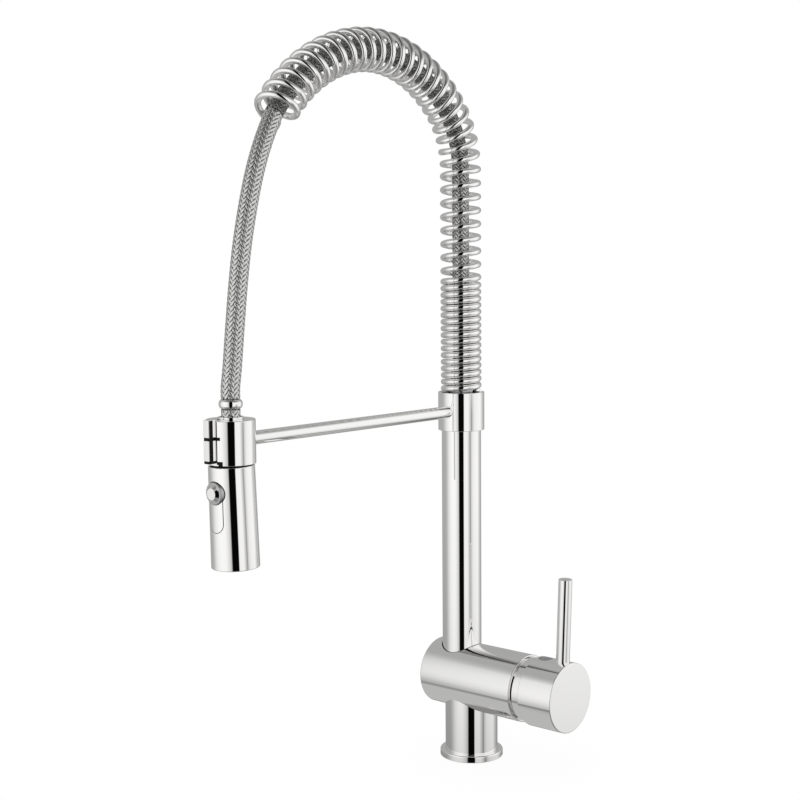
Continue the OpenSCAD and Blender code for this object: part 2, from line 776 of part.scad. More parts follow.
module collar_screw() {
    color(steel) translate([riser_x, collar_bore_r, collar_screw_z]) rotate([-90, 0, 0]) difference() {
        bar(collar_screw_r, collar_r - collar_bore_r - 0.3, 0.2, 0.2);
        translate([0, 0, 0.9]) cylinder(r = 1.1, h = collar_screw_r, $fn = 6);
    }
}

module hose_nipple() {
    color(steel) translate([riser_x, 0, 0]) difference() {
        union() {
            translate([0, 0, riser_top - nipple_plug_len]) bar(riser_bore_r - seat_fit, nipple_plug_len);
            translate([0, 0, riser_top - eps])
                cylinder(r = nipple_r, h = collar_top - spring_seat_depth - riser_top + eps);
            translate([0, 0, collar_top - spring_seat_depth])
                bar(spring_spigot_r, spring_seat_depth + spring_spigot_h);
            translate([0, 0, hose_foot - eps]) cylinder(r = barb_r, h = barb_len + eps);
        }
        translate([0, 0, riser_top - nipple_plug_len - eps])
            cylinder(r = nipple_bore_r, h = collar_h + 2 * barb_len + 2 * eps);
    }
}

module hose_crimp() {
    color(steel) translate([riser_x, 0, hose_foot]) ring(crimp_r, hose_r + seat_fit, crimp_len);
}

module spring() {
    color(steel) tube_mesh([for (r = wire_rings) each r], len(wire_rings), wire_sides);
}

// One ring of corners with radius r about the centre line, at a length s above the collar
function hose_ring(s, r) =
    let (p = line_at(s))
    [for (k = [0:hose_sides - 1])
        [riser_x, p[0], p[1]] + r * outward(lean_at(s), 360 * k / hose_sides)];

// The hose is one unbroken tube, bored at its foot for the nipple's barb
module hose_in_spring() {
    foot = hose_foot - collar_top;
    bore_r = (barb_r + run_fit) / cos(180 / hose_sides);
    bore = [hose_ring(foot + barb_len + run_fit, bore_r), hose_ring(foot, bore_r)];
    wall = [for (i = [0:hose_rings]) hose_ring(foot + (spring_len - foot) * i / hose_rings, hose_r)];
    rings = concat(bore, wall);
    color(grey) tube_mesh([for (r = rings) each r], len(rings), hose_sides);
}

module hose_drop() {
    bead_top = bead_z + bead_h;
    ends = [[riser_x, hose_end_y, bead_top + hose_r], [riser_x, hose_end_y, bead_top]];
    route = [for (p = hose_route) [riser_x, p[0], p[1]]];
    start = [riser_x, tip[0], tip[1]];
    way = [0, -sin(tip_lean), cos(tip_lean)];
    color(grey) swept(concat([start, start + way], route, ends), hose_r, hose_sides);
}

// Arm and dock
module arm_rod() {
    color(chrome) translate([riser_x, -collar_bore_r, arm_z]) rotate([90, 0, 0])
        bar(arm_r, dock_reach - collar_bore_r - dock_bore_r, 0.1, 0.1);
}

// Plan of the upright rib in front of the sleeve, drawn in by an inset
module rib_outline(inset) {
    half = rib_w / 2 - inset;
    corner = [half - rib_round, -rib_out + inset + rib_round];
    polygon(concat(
        arc(corner, rib_round, -90, 0),
        [[half, -dock_r + dock_wall / 2], [-half, -dock_r + dock_wall / 2]],
        arc([-corner[0], corner[1]], rib_round, 180, 270)
    ));
}

// The two strips along the rib's sides, grown or drawn in by a fit
module rib_rails(fit, foot, top) {
    for (side = [0, 1]) mirror([side, 0, 0])
        translate([rib_w / 2 - rail_t - fit, -rail_out - fit, foot])
            cube([rail_t + 2 * fit, rail_out - rail_in + 2 * fit, top - foot]);
}

module dock_sleeve() {
    color(chrome) translate([riser_x, dock_y, dock_foot]) difference() {
        union() {
            bar(dock_r, dock_h, 0.3, 0.5);
            translate([0, 0, rail_foot]) linear_extrude(dock_h - rail_foot) rib_outline(0);
        }
        translate([0, 0, -eps]) cylinder(r = dock_bore_r, h = dock_h - dock_roof + eps);
        cylinder(r = dock_hole_r, h = dock_h + eps);
        translate([0, dock_reach - collar_bore_r, arm_rise + collar_bottom - dock_foot]) rotate([90, 0, 0])
            cylinder(r = arm_r + seat_fit, h = dock_reach - collar_bore_r - dock_bore_r + 1);
        // Slot across the front, and the window behind the rib's black foot
        translate([-dock_r, -dock_r - slot_back, slot_rise]) cube([2 * dock_r, dock_r, slot_w]);
        translate([-window_half, -dock_r - eps, rib_foot]) cube([2 * window_half, notch_deep, foot_h]);
        rib_rails(seat_fit, rail_foot - eps, rail_top);
        // Notches in the sleeve's foot beside the rib
        for (side = [0, 1]) mirror([side, 0, 0])
            translate([notch_in, -dock_r - 1, -eps]) cube([notch_out - notch_in, notch_deep, notch_h + eps]);
    }
}

// The liner's tongue in the slot, a little behind the sleeve's face
module dock_tongue() {
    difference() {
        intersection() {
            union() {
                cylinder(r = dock_r - tongue_recess, h = dock_h);
                linear_extrude(dock_h) rib_outline(tongue_recess);
            }
            translate([-dock_r, -dock_r - slot_back - seat_fit, slot_rise + seat_fit])
                cube([2 * dock_r, dock_r, slot_w - 2 * seat_fit]);
        }
        cylinder(r = liner_r - edge, h = dock_h);
    }
}

// The rib's black foot, with its stub through the window
module dock_rib_foot() {
    translate([0, 0, rib_foot]) {
        difference() {
            linear_extrude(foot_h - seat_fit) rib_outline(foot_recess);
            translate([0, 0, -eps]) cylinder(r = dock_r + seat_fit, h = foot_h + 2 * eps);
        }
        translate([seat_fit - window_half, -dock_r - 1, seat_fit])
            cube([2 * (window_half - seat_fit), dock_r + 1 - liner_r + edge, foot_h - 2 * seat_fit]);
    }
}

module dock_liner() {
    top = dock_h - dock_roof;
    bevel = liner_bore_r - dock_hole_r;
    color(black) translate([riser_x, dock_y, dock_foot]) {
        rotate_extrude() polygon([
            [liner_bore_r + 0.6, 0.5], [liner_r, 0.5], [liner_r, top], [dock_hole_r + 0.1, top],
            [liner_bore_r, top - bevel], [liner_bore_r, 1.1]
        ]);
        dock_tongue();
        dock_rib_foot();
        rib_rails(-seat_fit, rib_foot + foot_h / 2, rail_top - seat_fit);
    }
}

// Hose end
module hose_bead() {
    color(chrome) translate([riser_x, hose_end_y, bead_z]) rotate_extrude() polygon(concat(
        [[0, 0]],
        arc([bead_r - bead_round, bead_round], bead_round, -90, 0),
        arc([bead_r - bead_round, bead_h - bead_round], bead_round, 0, 90),
        [[0, bead_h]]
    ));
}

module hose_tail() {
    up = [0, -sin(head_tilt), cos(head_tilt)];
    foot = [riser_x, dock_y, head_z] + (nut_foot + nut_h) * up;
    bead_foot = [riser_x, hose_end_y, bead_z];
    color(grey) swept([foot, foot + 4 * up, bead_foot - [0, 0, 10], bead_foot], hose_r, hose_sides);
}

module hose_nut() {
    color(brass) on_head() translate([0, 0, nut_foot]) difference() {
        bar(hose_nut_r, nut_h, 0.3, 0.3);
        translate([0, 0, -eps]) cylinder(r = nipple_bore_r, h = nut_h - 3);
    }
}

module hose_washer() {
    color(rubber) on_head() translate([0, 0, nut_foot - washer_gap]) ring(hose_nut_r - 0.3, 3.5, washer_gap);
}

// Spray head
module head_neck() {
    flange_foot = -head_wall - neck_flange_h;
    bore_foot = nut_foot - washer_gap - run_fit;
    color(black) on_head() difference() {
        union() {
            translate([0, 0, -head_wall - 0.1]) bar(neck_r, neck_h + head_wall + 0.1, 0.05, 1);
            translate([0, 0, flange_foot]) bar(head_top_r - head_wall - 0.1, neck_flange_h, 0.3, 0.3);
        }
        translate([0, 0, bore_foot]) cylinder(r = hose_nut_r + run_fit, h = neck_h);
        translate([0, 0, nut_foot + nut_h]) cylinder(r = 9.4, h = neck_h);
        translate([0, 0, flange_foot - eps]) cylinder(r = 3.5, h = neck_h);
    }
}

// Outline [radius, height] of the shell's wall between two depths from its outer face
function shell_face(in) = [[head_foot_r - in, -head_len], [head_top_r - in, 0]];

// A tall plate with a round lower end, standing towards -Y
module pill(r, top, foot, depth) {
    rotate([90, 0, 0]) linear_extrude(depth) {
        translate([-r, foot + r]) square([2 * r, top - foot - r]);
        translate([0, foot + r]) circle(r = r);
    }
}

module head_shell() {
    color(chrome) on_head() difference() {
        rotate_extrude() polygon([
            [neck_hole_r, 0], [head_top_r - 0.6, 0], [head_top_r, -0.6], [head_foot_r, -head_len + 0.4],
            [head_foot_r - 0.4, -head_len], [head_foot_r - head_wall, -head_len],
            [head_top_r - head_wall, -head_wall], [neck_hole_r, -head_wall]
        ]);
        on_button() cylinder(r = bezel_r + seat_fit, h = button_out);
        // Shallow seat of the inlay
        intersection() {
            pill(inlay_r + inlay_gap, -button_drop, -inlay_drop - inlay_gap, button_out);
            rotate_extrude() polygon([
                shell_face(inlay_depth)[0], shell_face(-1)[0], shell_face(-1)[1], shell_face(inlay_depth)[1]
            ]);
        }
    }
}

module inlay() {
    color(chrome) on_head() difference() {
        intersection() {
            pill(inlay_r, -button_drop, -inlay_drop, button_out);
            rotate_extrude() polygon([
                shell_face(inlay_depth - 0.01)[0], shell_face(-0.1)[0], shell_face(-0.1)[1],
                shell_face(inlay_depth - 0.01)[1]
            ]);
        }
        on_button() cylinder(r = bezel_r + inlay_gap, h = button_out);
    }
}

module button_bezel() {
    color(chrome) on_head() on_button() translate([0, 0, bezel_in]) difference() {
        bar(bezel_r, bezel_out - bezel_in, 0.1, 0.4);
        translate([0, 0, -eps]) cylinder(r = button_r + run_fit, h = bezel_out);
    }
}

module head_waterway() {
    color(black) on_head() difference() {
        translate([0, 0, water_top - water_len]) cylinder(r = water_r, h = water_len);
        translate([0, 0, water_top - water_len - eps]) cylinder(r = 4, h = water_len + 2 * eps);
        on_button() translate([0, 0, -1]) cylinder(r = stem_pin_r + run_fit, h = button_out);
    }
}

module check_valve() {
    color(black) on_head() translate([0, 0, water_top - water_len - valve_len]) ring(valve_r, 4, valve_len);
}

module outlet_tube() {
    foot = -head_len + aerator_len;
    color(black) on_head() translate([0, 0, foot])
        ring(outlet_r, outlet_bore_r, water_top - water_len - valve_len - foot);
}

module aerator() {
    color(grey) on_head() translate([0, 0, -head_len + 0.6]) difference() {
        bar(aerator_r, aerator_len - 0.6, 0.4, 0.1);
        translate([0, 0, 1.4]) cylinder(r = outlet_bore_r, h = aerator_len);
        for (a = [0:60:300]) rotate([0, 0, a]) translate([4, 0, -eps]) cylinder(r = 0.9, h = aerator_len);
    }
}

module spray_plate() {
    nozzle_count = 20;
    rim = head_foot_r - head_wall - 0.1;
    color(black) on_head() translate([0, 0, -head_len + 0.3]) {
        difference() {
            bar(rim, plate_h, 0.2, 0.2);
            translate([0, 0, -eps]) cylinder(r = aerator_r + seat_fit, h = plate_h + 2 * eps);
        }
        for (i = [0:nozzle_count - 1]) rotate([0, 0, 360 * i / nozzle_count])
            translate([(rim + aerator_r) / 2, 0, -0.8]) cylinder(r = 0.8, h = 0.9, $fn = 24);
    }
}

// Button
module button() {
    color(chrome) on_head() on_button() translate([0, 0, button_in]) rotate_extrude() polygon(concat(
        [[0, 0], [button_r, 0], [button_r, button_out - button_in - button_cone_h - 0.2]],
        [[button_face_r + button_cone, button_out - button_in - button_cone_h]],
        [[button_face_r, button_out - button_in]],
        [[0, button_out - button_in]]
    ));
}

module diverter_stem() {
    color(steel) on_head() on_button() translate([0, 0, stem_pin_in])
        bar(stem_pin_r, button_in - stem_pin_in, 0.3, 0.05);
}

base_gasket();
base_ring();
valve_body();
riser_bush();
swivel_washer();
riser_screw();
cartridge_body();
cartridge_seals();
ceramic_disc_fixed();
cartridge_nut();
neck_ring();
cartridge_rotor();
rotor_pin();
disc_carrier();
ceramic_disc_moving();
cartridge_stem();
handle_cap();
handle_screw();
index_plug();
lever_pin();
riser_spigot();
riser_seals();
riser_tube();
collar();
collar_screw();
hose_nipple();
hose_crimp();
spring();
hose_in_spring();
arm_rod();
dock_sleeve();
dock_liner();
hose_drop();
hose_bead();
hose_tail();
hose_nut();
hose_washer();
head_neck();
head_shell();
head_waterway();
check_valve();
outlet_tube();
aerator();
spray_plate();
inlay();
button_bezel();
button();
diverter_stem();
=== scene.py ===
import json
import math

import bmesh
import bpy
from mathutils import Matrix, Vector


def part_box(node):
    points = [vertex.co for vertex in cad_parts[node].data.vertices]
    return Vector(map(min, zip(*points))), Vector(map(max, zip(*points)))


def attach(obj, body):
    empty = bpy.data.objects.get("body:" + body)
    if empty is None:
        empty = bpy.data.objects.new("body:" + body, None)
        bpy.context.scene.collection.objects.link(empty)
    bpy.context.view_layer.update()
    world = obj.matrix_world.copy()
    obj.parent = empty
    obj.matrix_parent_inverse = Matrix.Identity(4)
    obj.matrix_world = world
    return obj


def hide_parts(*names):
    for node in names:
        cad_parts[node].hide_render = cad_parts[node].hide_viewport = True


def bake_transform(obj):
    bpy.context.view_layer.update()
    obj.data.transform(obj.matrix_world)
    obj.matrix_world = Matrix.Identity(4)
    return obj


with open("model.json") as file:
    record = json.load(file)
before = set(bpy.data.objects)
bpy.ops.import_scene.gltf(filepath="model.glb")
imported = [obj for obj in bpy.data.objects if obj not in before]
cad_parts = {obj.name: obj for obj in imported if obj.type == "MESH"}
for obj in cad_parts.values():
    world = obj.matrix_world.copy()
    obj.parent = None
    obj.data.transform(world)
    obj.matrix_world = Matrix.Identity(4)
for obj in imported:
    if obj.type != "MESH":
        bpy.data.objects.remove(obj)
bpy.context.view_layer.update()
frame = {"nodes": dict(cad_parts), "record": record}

mm = 0.001

# Camera
# It stands where the photograph was taken from: to the front right of the
# faucet, a little above the collar, and looks slightly down.
camera_place = Vector((668.4, -823.6, 362.3)) * mm
camera_heading = math.radians(41.76)
camera_pitch = math.radians(5.65)
camera_roll = math.radians(-0.43)
camera_data = bpy.data.cameras.new("camera")
camera_data.sensor_fit = "HORIZONTAL"
camera_data.sensor_width = 36
camera_data.lens = 67.73
camera_data.clip_end = 50
camera = bpy.data.objects.new("camera", camera_data)
camera.matrix_world = (
    Matrix.Translation(camera_place)
    @ Matrix.Rotation(camera_heading, 4, "Z")
    @ Matrix.Rotation(math.pi / 2 - camera_pitch, 4, "X")
    @ Matrix.Rotation(camera_roll, 4, "Z")
)
bpy.context.scene.collection.objects.link(camera)
bpy.context.scene.camera = camera

# Braided hose, free stretch
# A rubber hose under a stainless steel braid, free from the spring's end down
# to the crimped bead. The braid is 24 flat strands of wires, half wound each
# way, which pass over two and under two.
spout_x = -8.55
riser_x = spout_x * mm
collar_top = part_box("collar")[1].z
arch_start = 417 * mm
bends = [(64 * mm, 42.5), (100 * mm, 60.0), (113 * mm, 90.0)]
spring_foot_rise = 0.05 * mm
close_curls = 16.4
curls = 49.5
close_pitch = 4.72 * mm
open_pitch = 9.44 * mm


def climb(turn):
    """Length of the centre line that the spring's wire has climbed after some curls."""
    past = max(0.0, turn - close_curls)
    eased = past * past / 2 if past < 1 else past - 0.5
    return close_pitch * turn + (open_pitch - close_pitch) * eased


def arch_at(length):
    """Point and lean, in radians from the vertical, of the arch at a length above the collar."""
    straight = arch_start - collar_top
    if length < straight:
        return Vector((riser_x, 0, collar_top + length)), 0.0
    left = length - straight
    point = Vector((riser_x, 0, arch_start))
    lean = 0.0
    for radius, turn in bends:
        step = min(left / radius, math.radians(turn))
        point.y += radius * (math.cos(lean + step) - math.cos(lean))
        point.z += radius * (math.sin(lean + step) - math.sin(lean))
        lean += step
        left -= radius * step
        if left < 1e-9:
            break
    return point, lean


arch_length = spring_foot_rise + climb(curls)
arch_tip, arch_lean = arch_at(arch_length)
hose_y = -218.6
bead_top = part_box("hose_bead")[1].z
hose_width = 12.2 * mm
drop_points = [
    (-188, 430), (-195, 413), (-201, 393), (-207, 367), (-211, 342), (-214, 318), (-217, 292),
]
drop_line = [arch_tip, arch_tip + mm * Vector((0, -math.sin(arch_lean), math.cos(arch_lean)))]
drop_line += [Vector((riser_x, y * mm, z * mm)) for y, z in drop_points]
drop_line += [Vector((riser_x, hose_y * mm, bead_top + rise)) for rise in (hose_width / 2, 0)]


def smooth_line(points, step):
    """A Catmull-Rom curve through the points, cut in steps of about one length."""
    line = []
    padded = [2 * points[0] - points[1]] + points + [2 * points[-1] - points[-2]]
    for i in range(1, len(padded) - 2):
        p0, p1, p2, p3 = padded[i - 1:i + 3]
        count = max(1, round((p2 - p1).length / step))
        knots = [0.0]
        for a, b in ((p0, p1), (p1, p2), (p2, p3)):
            knots.append(knots[-1] + math.sqrt((b - a).length))
        for k in range(count):
            t = knots[1] + (knots[2] - knots[1]) * k / count
            a1 = p0.lerp(p1, (t - knots[0]) / (knots[1] - knots[0]))
            a2 = p1.lerp(p2, (t - knots[1]) / (knots[2] - knots[1]))
            a3 = p2.lerp(p3, (t - knots[2]) / (knots[3] - knots[2]))
            b1 = a1.lerp(a2, (t - knots[0]) / (knots[2] - knots[0]))
            b2 = a2.lerp(a3, (t - knots[1]) / (knots[3] - knots[1]))
            line.append(b1.lerp(b2, (t - knots[1]) / (knots[2] - knots[1])))
    line.append(points[-1].copy())
    return line


def line_length(line):
    """Length of a line of points."""
    return sum((b - a).length for a, b in zip(line, line[1:]))


def line_frame(line, places):
    """Point, sideways and upward directions on a line in the plane x = riser_x, at given lengths."""
    found = []
    here = 0
    run = 0.0
    sideways = Vector((1, 0, 0))
    for place in places:
        while here < len(line) - 2 and run + (line[here + 1] - line[here]).length < place:
            run += (line[here + 1] - line[here]).length
            here += 1
        step = line[here + 1] - line[here]
        share = (place - run) / step.length
        before = (line[here + 1] - line[max(here - 1, 0)]).normalized()
        after = (line[min(here + 2, len(line) - 1)] - line[here]).normalized()
        way = before.lerp(after, share).normalized()
        found.append((line[here] + step * share, sideways, way.cross(sideways)))
    return found


def socket_id(tree, name):
    """Identifier of a node group's input by its name."""
    return next(
        item.identifier for item in tree.interface.items_tree if item.name == name and item.in_out == "INPUT")


braid_strands = 12
weave_repeat = 4
wires_in_strand = 4
braid_radius = 5.62 * mm
braid_rise = 0.17 * mm
strand_thick = 0.3 * mm
strand_width = 2.15 * mm
braid_twist = 1 / (5.9 * mm)
braid_step = 1.06 * mm
tube_sides = 24
tube_step = 4 * mm


def strand_pair(length, direction, name):
    """Two neighbouring strands on a straight hose along Z, bent later along its line."""
    bm = bmesh.new()
    uv = bm.loops.layers.uv.new("strand")
    count = max(2, round(length / braid_step))
    slope = braid_radius * braid_twist
    across = ((-1, 0), (-0.5, 0.8), (0, 1), (0.5, 0.8), (1, 0), (0.6, -1), (-0.6, -1))
    top_faces = 4
    for pair in (0, 1):
        rings = []
        for i in range(count + 1):
            z = length * i / count
            crossing = 2 * braid_twist * z * braid_strands / math.tau
            wave = math.cos(math.tau * (2 * pair + direction * crossing - 0.5) / weave_repeat)
            angle = math.tau * pair / braid_strands + direction * braid_twist * z
            ring = []
            for q, h in across:
                side = q * strand_width / 2
                turn = angle + side / math.hypot(1, slope) / braid_radius
                rise = min(max(z - direction * side * slope / math.hypot(1, slope), 0), length)
                radius = braid_radius + direction * braid_rise * wave + h * strand_thick / 2
                ring.append(bm.verts.new((radius * math.cos(turn), radius * math.sin(turn), rise)))
            rings.append(ring)
        sides = len(across)
        for i in range(count):
            for k in range(sides):
                m = (k + 1) % sides
                face = bm.faces.new((rings[i][k], rings[i][m], rings[i + 1][m], rings[i + 1][k]))
                face.smooth = True
                widths = (k, k + 1, k + 1, k) if k < top_faces else (0, 0, 0, 0)
                for loop, u, v in zip(face.loops, widths, (i, i, i + 1, i + 1)):
                    loop[uv].uv = (u / top_faces, v / top_faces)
        bm.faces.new(list(reversed(rings[0])))
        bm.faces.new(rings[-1])
    bmesh.ops.recalc_face_normals(bm, faces=bm.faces)
    mesh = bpy.data.meshes.new(name)
    bm.to_mesh(mesh)
    bm.free()
    return mesh


def calculator(tree):
    """Two functions that add Math and Vector Math nodes to a tree."""
    def wire(sockets, inputs):
        for socket, given in zip(sockets, inputs):
            if isinstance(given, (int, float, tuple)):
                socket.default_value = given
            else:
                tree.links.new(given, socket)

    def value(operation, *inputs):
        step = tree.nodes.new("ShaderNodeMath")
        step.operation = operation
        wire(step.inputs, inputs)
        return step.outputs[0]

    def vector(operation, *inputs):
        step = tree.nodes.new("ShaderNodeVectorMath")
        step.operation = operation
        wire([step.inputs[0], step.inputs["Scale"]] if operation == "SCALE" else step.inputs, inputs)
        return step.outputs[0]

    return value, vector


def node_group(name, **sockets):
    """A new Geometry Nodes group with the given inputs, its input node and its output socket."""
    tree = bpy.data.node_groups.new(name, "GeometryNodeTree")
    tree.interface.new_socket("Geometry", in_out="INPUT", socket_type="NodeSocketGeometry")
    for label, kind in sockets.items():
        tree.interface.new_socket(label, in_out="INPUT", socket_type="NodeSocket" + kind)
    tree.interface.new_socket("Geometry", in_out="OUTPUT", socket_type="NodeSocketGeometry")
    given = tree.nodes.new("NodeGroupInput").outputs
    result = tree.nodes.new("NodeGroupOutput").inputs[0]
    return tree, given, result


def guide_at(tree, given, mode, place):
    """Point, tangent and upward direction of the Guide curve at a factor or a length."""
    value, vector = calculator(tree)
    guide = tree.nodes.new("GeometryNodeObjectInfo")
    tree.links.new(given["Guide"], guide.inputs["Object"])
    sample = tree.nodes.new("GeometryNodeSampleCurve")
    sample.mode = mode
    tree.links.new(guide.outputs["Geometry"], sample.inputs["Curves"])
    tree.links.new(place, sample.inputs["Factor" if mode == "FACTOR" else "Length"])
    tangent = sample.outputs["Tangent"]
    return sample.outputs["Position"], tangent, vector("CROSS_PRODUCT", tangent, (1, 0, 0))


def finished(tree, geometry, finish, result):
    """Ends a tree in Realize Instances and Set Material."""
    real = tree.nodes.new("GeometryNodeRealizeInstances")
    tree.links.new(geometry, real.inputs[0])
    paint = tree.nodes.new("GeometryNodeSetMaterial")
    paint.inputs["Material"].default_value = finish
    tree.links.new(real.outputs[0], paint.inputs["Geometry"])
    tree.links.new(paint.outputs[0], result)
    return tree


def baked(name, tree, mesh, **inputs):
    """The plain mesh that a Geometry Nodes group makes of a mesh."""
    holder = bpy.data.objects.new(name, mesh)
    bpy.context.scene.collection.objects.link(holder)
    modifier = holder.modifiers.new(name, "NODES")
    modifier.node_group = tree
    for label, given in inputs.items():
        modifier[socket_id(tree, label)] = given
    bpy.context.view_layer.update()
    made = bpy.data.meshes.new_from_object(holder.evaluated_get(bpy.context.evaluated_depsgraph_get()))
    bpy.data.objects.remove(holder)
    return made


def guide_curve(name, line):
    """A curve object with straight steps through the points of a line."""
    curve = bpy.data.curves.new(name, "CURVE")
    curve.dimensions = "3D"
    spline = curve.splines.new("POLY")
    spline.points.add(len(line) - 1)
    for point, place in zip(spline.points, line):
        point.co = (*place, 1)
    guide = bpy.data.objects.new(name, curve)
    bpy.context.scene.collection.objects.link(guide)
    return guide


def braid_tree(name, finish):
    """Repeats a pair of strands round the hose and bends them along a guide curve."""
    tree, given, result = node_group(name, Guide="Object", Pairs="Int", Length="Float")
    add = tree.nodes.new
    link = tree.links.new
    value, vector = calculator(tree)
    points = add("GeometryNodeMeshLine")
    link(given["Pairs"], points.inputs["Count"])
    points.inputs["Offset"].default_value = (0, 0, 0)
    spin = add("ShaderNodeCombineXYZ")
    share = value("DIVIDE", add("GeometryNodeInputIndex").outputs[0], given["Pairs"])
    link(value("MULTIPLY", share, math.tau), spin.inputs["Z"])
    copies = add("GeometryNodeInstanceOnPoints")
    link(points.outputs[0], copies.inputs["Points"])
    link(given["Geometry"], copies.inputs["Instance"])
    link(spin.outputs[0], copies.inputs["Rotation"])
    real = add("GeometryNodeRealizeInstances")
    link(copies.outputs[0], real.inputs[0])
    split = add("ShaderNodeSeparateXYZ")
    link(add("GeometryNodeInputPosition").outputs[0], split.inputs[0])
    along = value("DIVIDE", split.outputs["Z"], given["Length"])
    centre, tangent, up = guide_at(tree, given, "FACTOR", along)
    sideways = vector("SCALE", (1, 0, 0), split.outputs["X"])
    upward = vector("SCALE", up, split.outputs["Y"])
    bend = add("GeometryNodeSetPosition")
    link(real.outputs[0], bend.inputs["Geometry"])
    link(vector("ADD", vector("ADD", centre, sideways), upward), bend.inputs["Position"])
    return finished(tree, bend.outputs[0], finish, result)


def shader(name):
    """A new material with its nodes, link function and Principled shader."""
    made = bpy.data.materials.new(name)
    made.use_nodes = True
    tree = made.node_tree
    return made, tree.nodes, tree.links.new, tree.nodes["Principled BSDF"]


def braid_finish(name, wire, groove_shade, roughness, below=1.0):
    """Stainless wires side by side in each strand, with painted shade in the grooves between them.

    Below the arch their brightness is multiplied by the last value. With a darker copy for the hose in the
    arch, this paints the arch's shade and leaves the hose below it lighter.
    """
    made, add, link, surface = shader(name)
    surface.inputs["Metallic"].default_value = 1.0
    surface.inputs["Roughness"].default_value = roughness
    uv = add.new("ShaderNodeUVMap")
    uv.uv_map = "strand"
    split = add.new("ShaderNodeSeparateXYZ")
    link(uv.outputs[0], split.inputs[0])
    wires = add.new("ShaderNodeMath")
    wires.operation = "MULTIPLY"
    wires.inputs[1].default_value = wires_in_strand * math.tau
    link(split.outputs["X"], wires.inputs[0])
    ridge = add.new("ShaderNodeMath")
    ridge.operation = "COSINE"
    link(wires.outputs[0], ridge.inputs[0])
    shade = add.new("ShaderNodeMapRange")
    shade.inputs["From Min"].default_value = -1
    link(ridge.outputs[0], shade.inputs["Value"])
    # Painted shade: the grooves between the wires get the darker colour.
    tone = add.new("ShaderNodeMix")
    tone.data_type = "RGBA"
    tone.inputs["A"].default_value = (wire, wire, 0.985 * wire, 1)
    tone.inputs["B"].default_value = (groove_shade, groove_shade, 0.975 * groove_shade, 1)
    link(shade.outputs[0], tone.inputs["Factor"])
    place = add.new("ShaderNodeTexCoord")
    height = add.new("ShaderNodeSeparateXYZ")
    link(place.outputs["Object"], height.inputs[0])
    # Painted shade and light by height: the colour is scaled by the last value below the arch and left as
    # given above it.
    painted_shade_ramp = add.new("ShaderNodeMapRange")
    painted_shade_ramp.inputs["From Min"].default_value = 0.39
    painted_shade_ramp.inputs["From Max"].default_value = 0.44
    painted_shade_ramp.inputs["To Min"].default_value = below
    link(height.outputs["Z"], painted_shade_ramp.inputs["Value"])
    painted_shade_tone = add.new("ShaderNodeVectorMath")
    painted_shade_tone.operation = "SCALE"
    link(tone.outputs["Result"], painted_shade_tone.inputs[0])
    link(painted_shade_ramp.outputs[0], painted_shade_tone.inputs["Scale"])
    link(painted_shade_tone.outputs[0], surface.inputs["Base Color"])
    groove = add.new("ShaderNodeBump")
    groove.invert = True
    groove.inputs["Strength"].default_value = 0.3
    groove.inputs["Distance"].default_value = 0.0001
    link(shade.outputs[0], groove.inputs["Height"])
    link(groove.outputs[0], surface.inputs["Normal"])
    return made


braid_steel = braid_finish("braided_steel", 0.95, 0.4, 0.2)
# A darker copy of the braid for the hose in the arch, as painted shade from the coils; below the arch it is
# painted 1.7 times brighter.
braid_in_painted_shade = braid_finish("braided_steel_dull", 0.5, 0.14, 0.24, 1.7)


def rubber_finish(name, roughness, scale, dark, light):
    """Rubber with a fine grain between two greys."""
    made, add, link, surface = shader(name)
    surface.inputs["Roughness"].default_value = roughness
    grain = add.new("ShaderNodeTexNoise")
    grain.inputs["Scale"].default_value = scale
    tone = add.new("ShaderNodeMix")
    tone.data_type = "RGBA"
    tone.inputs["A"].default_value = (*dark, 1)
    tone.inputs["B"].default_value = (*light, 1)
    link(grain.outputs["Fac"], tone.inputs["Factor"])
    link(tone.outputs["Result"], surface.inputs["Base Color"])
    return made


hose_rubber = rubber_finish("hose_rubber", 0.6, 900, (0.10, 0.098, 0.095), (0.16, 0.155, 0.15))


def new_piece(name, mesh, *finishes):
    """A finished piece at the origin, with its materials."""
    mesh.name = name
    for finish in finishes:
        mesh.materials.append(finish)
    piece = bpy.data.objects.new(name, mesh)
    bpy.context.scene.collection.objects.link(piece)
    return piece


def join(name, parts):
    """One piece from several objects, keeping their materials."""
    with bpy.context.temp_override(
        active_object=parts[0], object=parts[0], selected_objects=parts, selected_editable_objects=parts
    ):
        bpy.ops.object.join()
    parts[0].name = name
    parts[0].data.name = name
    return parts[0]


